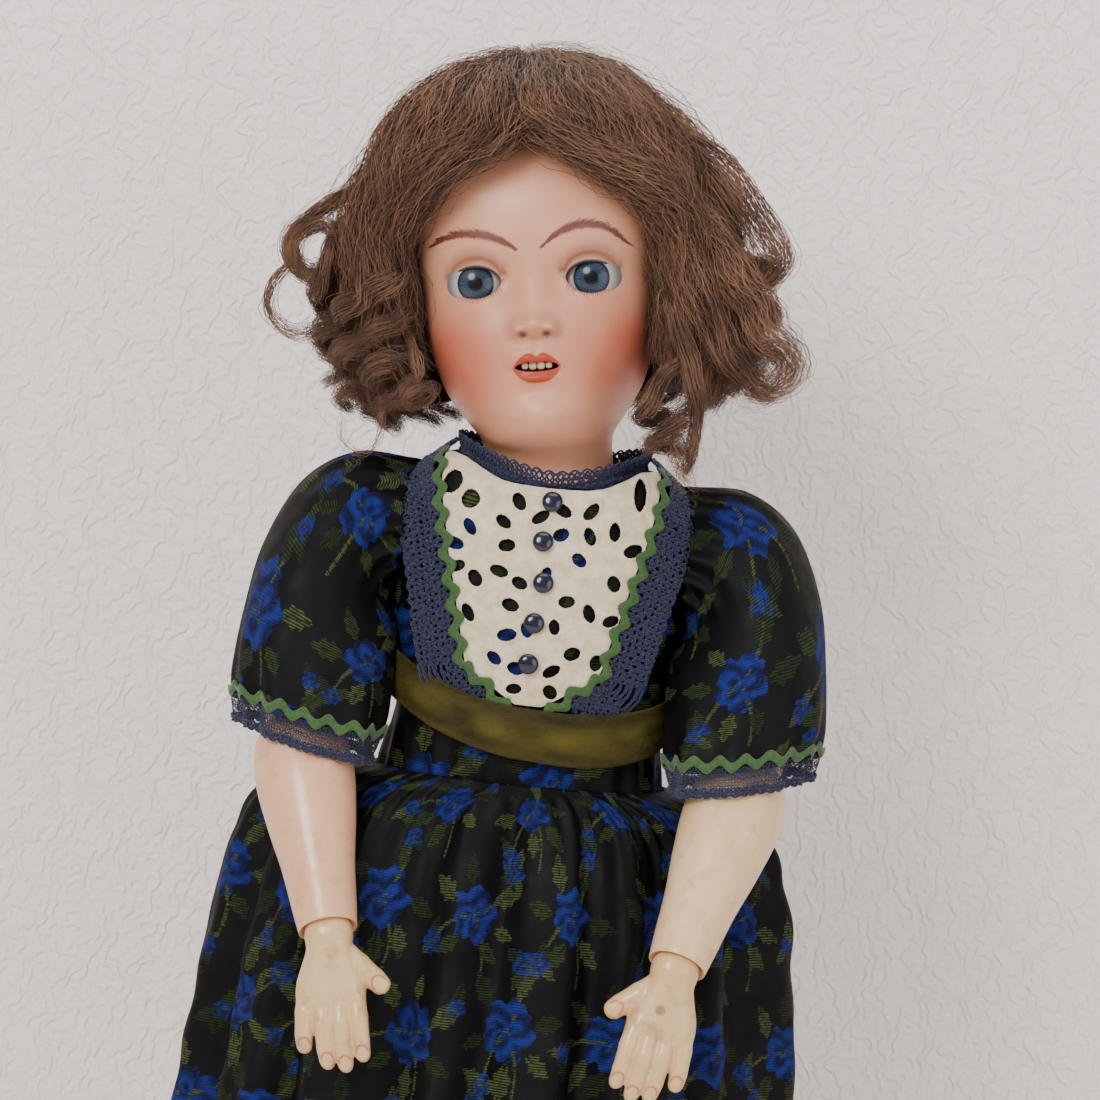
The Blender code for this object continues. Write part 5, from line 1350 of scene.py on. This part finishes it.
FINGERS_AT = [
    [(1.15, 0.05, 2.6), (1.3, 0.2, 4.2), (1.38, 0.02, 5.4), (1.5, -0.3, 6.05)],
    [(0.4, 0.1, 2.7), (0.45, 0.3, 4.5), (0.55, 0.02, 5.8), (0.65, -0.4, 6.5)],
    [(-0.4, 0.05, 2.6), (-0.4, 0.2, 4.3), (-0.3, -0.1, 5.7), (-0.2, -0.5, 6.3)],
    [(-1.1, 0.0, 2.4), (-1.3, 0.05, 3.9), (-1.35, -0.12, 5.0), (-1.3, -0.4, 5.5)],
    [(0.5, -0.1, 0.8), (1.5, -0.05, 1.6), (2.25, -0.1, 2.3), (2.65, -0.2, 2.8)],
]
PALM = [(-1.15, 0.35, 0.3), (-0.95, 0.75, 0.7), (-0.55, 1.05, 1.02), (0.0, 1.17, 1.14), (0.6, 1.11, 1.02),
        (1.3, 1.32, 0.93), (2.2, 1.62, 0.82), (3.0, 1.68, 0.7), (3.5, 1.6, 0.52), (3.75, 1.3, 0.3)]


def merged(name, parts, size):
    """Closed parts fused into one smooth skin; returns its verts (cm) and faces."""
    verts, faces = joined(parts)
    rough = piece(name, verts, faces, HAND)
    remesh = rough.modifiers.new("fuse", "REMESH")
    remesh.mode, remesh.voxel_size = "VOXEL", size * CM
    smooth = rough.modifiers.new("smooth", "SMOOTH")
    smooth.factor, smooth.iterations = 0.5, 7
    data = bpy.data.meshes.new_from_object(rough.evaluated_get(bpy.context.evaluated_depsgraph_get()))
    points = np.empty(len(data.vertices) * 3, np.float32)
    data.vertices.foreach_get("co", points)
    quads = np.array([p.vertices[:] for p in data.polygons if len(p.vertices) == 4])
    bpy.data.objects.remove(rough)
    return points.reshape(-1, 3) / CM, quads


def make_hand(side, word):
    wrist, tips = mirrored(WRIST, side), mirrored(FINGERS, side)
    along = unit(tips - wrist)
    thumbward = unit(np.cross(along, (0, side, 0)))
    back = np.cross(thumbward, along) * side
    back = back if back[1] < 0 else -back
    thumbward = thumbward if thumbward[0] * side < 0 else -thumbward
    basis = np.stack([thumbward, back, along])
    turn = np.arange(48) * 2 * math.pi / 48
    rows = rows_at(np.linspace(-1.1, 3.75, 60), PALM)
    palm = []
    for reach, (wide, thick) in zip(np.linspace(-1.1, 3.75, 60), rows):
        x, y = oval(turn, wide, thick, thick, 2.3, 2.3)
        lump = 0.1 * sum(bell(x, k, 0.25) for k in (1.15, 0.4, -0.4, -1.1)) * bell(reach, 3.1, 0.45) * (y > 0)
        groove = 0.1 * sum(bell(x, k, 0.14) for k in (0.78, 0.0, -0.75)) * ramp(reach, 2.3, 3.4)
        palm.append(np.stack([x, y + np.sign(y) * (lump - groove), np.full(48, reach)], 1))
    parts = [lathe(np.array(palm))]
    nails = []
    for number, points in enumerate(FINGERS_AT):
        radii = np.array((0.5, 0.46, 0.43, 0.37) if number < 4 else (0.72, 0.6, 0.53, 0.47))
        line = bent(points, 34)
        share = np.linspace(0, 1, 34)
        radius = curve(share, np.linspace(0, 1, 4), radii) + 0.035 * (bell(share, 0.38,
                                                                           0.07) + 0.8 * bell(share, 0.72,
                                                                                   0.06))
        radius = radius * np.sqrt(np.clip(1 - ((share - 0.86) / 0.145) ** 2 * (share > 0.86), 0.01, 1))
        ahead = unit(np.gradient(line, axis=0))
        a = unit(np.cross(ahead, (0, 1.0, 0)))
        b = np.cross(ahead, a)
        angle = np.arange(24) * 2 * math.pi / 24
        ring = line[:, None] + radius[:, None, None] * (np.cos(angle)[:, None] * a[:,
                None] + np.sin(angle)[:, None] * b[:, None])
        parts.append(lathe(ring))
        up = unit(np.cross(np.cross(ahead[-6], (0, 1.0, 0)), ahead[-6]))
        nails.append((line[-7] + up * radii[-1] * 0.95, ahead[-6], up, 0.27 if number < 4 else 0.34))
    verts, faces = merged(f"{word}_hand_fuse", parts, 0.055)
    nail = np.zeros(len(verts))
    for centre, ahead, up, size in nails:
        gap = verts - centre
        t, h = gap @ ahead, gap @ up
        s = gap @ np.cross(ahead, up)
        r = np.hypot(t / 1.25, s)
        near = (h > -0.32) & (h < 0.3)
        nail = np.maximum(nail, near * bell(r, size, 0.045) * ramp(-t, -0.12, 0.02) * 0.85)
        dent = near * (1 - ramp(r, size * 0.75, size))
        verts = verts - (0.03 * dent)[:, None] * up
    piece(f"{word}_hand_painted", verts @ basis + wrist, faces, HAND, f"{word}_hand", "painted_composition",
          [f"{word}_hand"], nail=nail)


def leg_rings(centre_x, rows):
    """Level rings down a leg or shoe from (z, half width, front, back, middle y)."""
    rows = np.asarray(sorted(rows, reverse=True), float)
    share = np.linspace(0, len(rows) - 1, 12 * len(rows))
    table = curve(share, np.arange(len(rows)), rows)
    turn = np.arange(72) * 2 * math.pi / 72
    rings = []
    for z, wide, front, back, middle, power in table:
        x, y = oval(turn, wide, front, back, power, power)
        rings.append(np.stack([centre_x + x, middle + y, np.full(72, z)], 1))
    return np.array(rings)[::-1]


def make_limbs():
    for side, word in SIDES:
        elbow, wrist = (mirrored(p, side) for p in (ELBOW, WRIST))
        long = np.linalg.norm(wrist - elbow)
        fore = turned_limb(elbow, wrist, [(1.35, 1.62), (2.2, 2.15), (4.0, 2.42), (6.5, 2.2), (9.0, 1.8),
                                          (long - 1.0, 1.5),
                                          (long - 0.35, 1.42)])
        piece(f"{word}_forearm", *lathe(fore), PALE_ARM if side < 0 else IVORY_ARM, f"{word}_lower_arm",
              "painted_composition", [f"{word}_lower_arm"], nail=np.zeros(len(fore) * 72 + 2))
        make_hand(side, word)

        knee, ankle = mirrored(KNEE, side), mirrored(ANKLE, side)
        shank = [(knee[2] - d, r, r, r + lean * 0.5, knee[1] + lean * 0.3, 2.0) for d, r, lean in
                 ((1.2, 2.05, 0.1), (2.2, 2.3, 0.15), (4.6, 2.55, 0.4), (7.2, 2.3, 0.5), (10.0, 1.75, 0.5),
                  (12.0, 1.5, 0.5))]
        foot = [(3.9, 1.55, 1.9, 1.65), (3.0, 1.6, 2.7, 1.75), (2.1, 1.65, 3.6, 1.8), (1.4, 1.7, 4.6, 1.75),
                (0.75, 1.6, 5.1, 1.6)]
        foot = [(z, w, f, b, ankle[1], 2.3) for z, w, f, b in foot]
        calf = leg_rings(knee[0], shank + foot)
        piece(f"{word}_shin", *lathe(calf), BODY, f"{word}_lower_leg", "painted_composition",
              [f"{word}_lower_leg"],
              nail=np.zeros(len(calf) * 72 + 2))
        sock = leg_rings(knee[0], [(z + 0.1 * (z < 5), w + 0.22, f + 0.22, b + 0.22, m, p) for z, w, f, b, m,
                                   p in shank[3:] + foot])
        rib = 0.03 * np.cos(36 * np.arange(72) * 2 * math.pi / 72)[None, :, None]
        sock = sock + unit(sock - sock.mean(1, keepdims=True)) * rib
        sock[-6:] += unit(sock[-6:] - sock[-6:].mean(1, keepdims=True)) * 0.1
        piece(f"{word}_sock_knit", *lathe(sock), COTTON, f"{word}_lower_leg", "white_cotton",
              [f"{word}_sock"])
        shoe = leg_rings(knee[0], [(0.35, 2.05, 5.75, 2.1, ankle[1], 2.4),
                                   (0.7, 2.2, 5.9, 2.28, ankle[1], 2.4),
                                   (1.5, 2.2, 5.85, 2.32, ankle[1], 2.4),
                                   (2.2, 2.14, 5.0, 2.3, ankle[1], 2.4),
                                   (2.75, 2.08, 3.5, 2.25, ankle[1], 2.4),
                                   (2.9, 2.0, 3.2, 2.2, ankle[1], 2.4),
                                   (2.8, 1.92, 3.1, 2.12, ankle[1], 2.4)])
        sole = leg_rings(knee[0], [(0.0, 2.0, 5.6, 2.05, ankle[1], 2.4),
                                   (0.2, 2.14, 5.85, 2.2, ankle[1], 2.4),
                                   (0.42, 2.12, 5.82, 2.18, ankle[1], 2.4)])
        verts, faces = lathe(shoe)
        faces[1] = faces[1][:72]
        piece(f"{word}_shoe_upper", verts, faces, LEATHER, f"{word}_lower_leg", "black_leather",
              [f"{word}_shoe"])
        piece(f"{word}_shoe_sole", *lathe(sole), SOLE, f"{word}_lower_leg", "black_leather")
        bend = np.linspace(-1.5, 1.5, 60)
        arch = np.stack([knee[0] + 2.08 * np.sin(bend), np.full(60, ankle[1] - 2.78),
                         2.75 + 1.15 * np.cos(bend)], 1)
        out = unit(np.stack([np.sin(bend), np.full(60, -0.35), np.cos(bend)], 1))
        cross = unit(np.cross(np.gradient(arch, axis=0), out))
        piece(f"{word}_instep_strap", *ribbon(arch, cross, out, 0.36, 0.12), LEATHER, f"{word}_lower_leg",
              "black_leather",
              [f"{word}_shoe_strap"])


make_limbs()

# ---------------------------------------------------------------- elastic
for side, word in SIDES:
    runs = {f"{word}_upper_arm": (SHOULDER, ELBOW, 2.2, 1.6), f"{word}_lower_arm": (ELBOW, WRIST, 1.6, 1.3),
            f"{word}_thigh": (HIP, KNEE, 2.3, 1.8)}
    for body, (start, end, leave, arrive) in runs.items():
        start, end = mirrored(start, side), mirrored(end, side)
        way = unit(end - start)
        line = np.linspace(start + way * leave, end - way * arrive, 12)[None]
        piece(f"{body}_elastic", *tubes(line, 0.22, 8), ELASTIC, body, "elastic_cord")
chest = np.array([mirrored((4.2, 0, 46.5), -1), (-1.6, -0.9, 46.0), (1.6, -0.9, 46.0), (4.2, 0, 46.5)])
piece("chest_elastic", *tubes(bent(chest, 40)[None], 0.22, 8), ELASTIC, "torso", "elastic_cord",
      ["arm_elastic"])
inner = [bent([mirrored((3.7, 0.1, 36.0), s), mirrored((2.0, 0.3, 42.0), s), mirrored((0.7, 0.4, 47.7), s)],
              30) for s in (-1, 1)]
piece("hip_elastic", *tubes(np.array(inner), 0.22, 8), ELASTIC, "torso", "elastic_cord", ["leg_elastic"])


# ---------------------------------------------------------------- stage, light and camera
def paper_look(name, colour, depth):
    """Pale wallpaper pressed with fine swirls, clear from its back so that the doll's back can be seen."""
    look = Look(name, colour, 0.8)
    swirl = look.add("TexNoise", {"Vector": look.where, "Scale": 48.0, "Detail": 2.0, "Distortion": 1.6})
    fine = look.add("TexWave", {"Vector": look.where, "Scale": 30.0, "Distortion": 14.0, "Detail": 2.5,
                                "Detail Scale": 2.2})
    look.bump(look.math("MULTIPLY_ADD", fine.outputs["Fac"], 0.7, swirl.outputs[0]), depth, 0.8)
    look.colour(look.mix(look.noise(3, 2, low=0, high=0.5), colour, np.asarray(colour) * 0.95))
    one_sided = look.add("MixShader", {0: look.add("NewGeometry").outputs["Backfacing"]})
    look.put(one_sided.inputs[1], look.shader.outputs[0])
    look.put(one_sided.inputs[2], look.add("BsdfTransparent").outputs[0])
    look.put(look.tree.nodes["Material Output"].inputs["Surface"], one_sided.outputs[0])
    return look.material


def plane(name, corners, look):
    obj = piece(name, np.array(corners, float), np.array([[0, 1, 2, 3]]), look, smooth=False)


WALL = linear(247, 238, 232)
plane("studio_floor", [(-300, -400, 0), (300, -400, 0), (300, 30, 0), (-300, 30, 0)],
      paper_look("floor_paper", WALL, 0.0002))
plane("studio_wall", [(-300, 30, -1), (300, 30, -1), (300, 30, 320), (-300, 30, 320)],
      paper_look("wall_paper", WALL, 0.0016))


def lamp(name, place, target, size, power, colour=(1, 1, 1)):
    data = bpy.data.lights.new(name, "AREA")
    data.shape, data.size, data.energy, data.color = "DISK", size * CM, power, colour
    obj = bpy.data.objects.new(name, data)
    bpy.context.scene.collection.objects.link(obj)
    obj.location = Vector(place) * CM
    obj.rotation_euler = (Vector(target) - Vector(place)).to_track_quat("-Z", "Y").to_euler()


lamp("key", (-90, -190, 150), (0, 0, 52), 95, 42)
lamp("fill", (140, -170, 80), (0, 0, 48), 160, 15)
lamp("top", (0, -40, 210), (0, 10, 50), 150, 16)
world = bpy.data.worlds.new("studio")
world.use_nodes = True
world.node_tree.nodes["Background"].inputs[0].default_value = (*linear(236, 236, 240), 1)
world.node_tree.nodes["Background"].inputs[1].default_value = 0.62
bpy.context.scene.world = world

CENTRE, ROLL, REACH, FIELD = np.array([0.28, 0.0, 49.8]), 6.0, 210.0, 55.0
camera = bpy.data.cameras.new("camera")
camera.sensor_width = 36
camera.lens = 36 * REACH / FIELD
eye = bpy.data.objects.new("camera", camera)
bpy.context.scene.collection.objects.link(eye)
lift = math.radians(3)
place = Vector(CENTRE + REACH * np.array([0, -math.cos(lift), math.sin(lift)])) * CM
aim = (Vector(CENTRE) * CM - place).to_track_quat("-Z", "Y").to_matrix()
eye.matrix_world = Matrix.Translation(place) @ (aim @ Matrix.Rotation(math.radians(ROLL), 3, "Z")).to_4x4()
bpy.context.scene.camera = eye
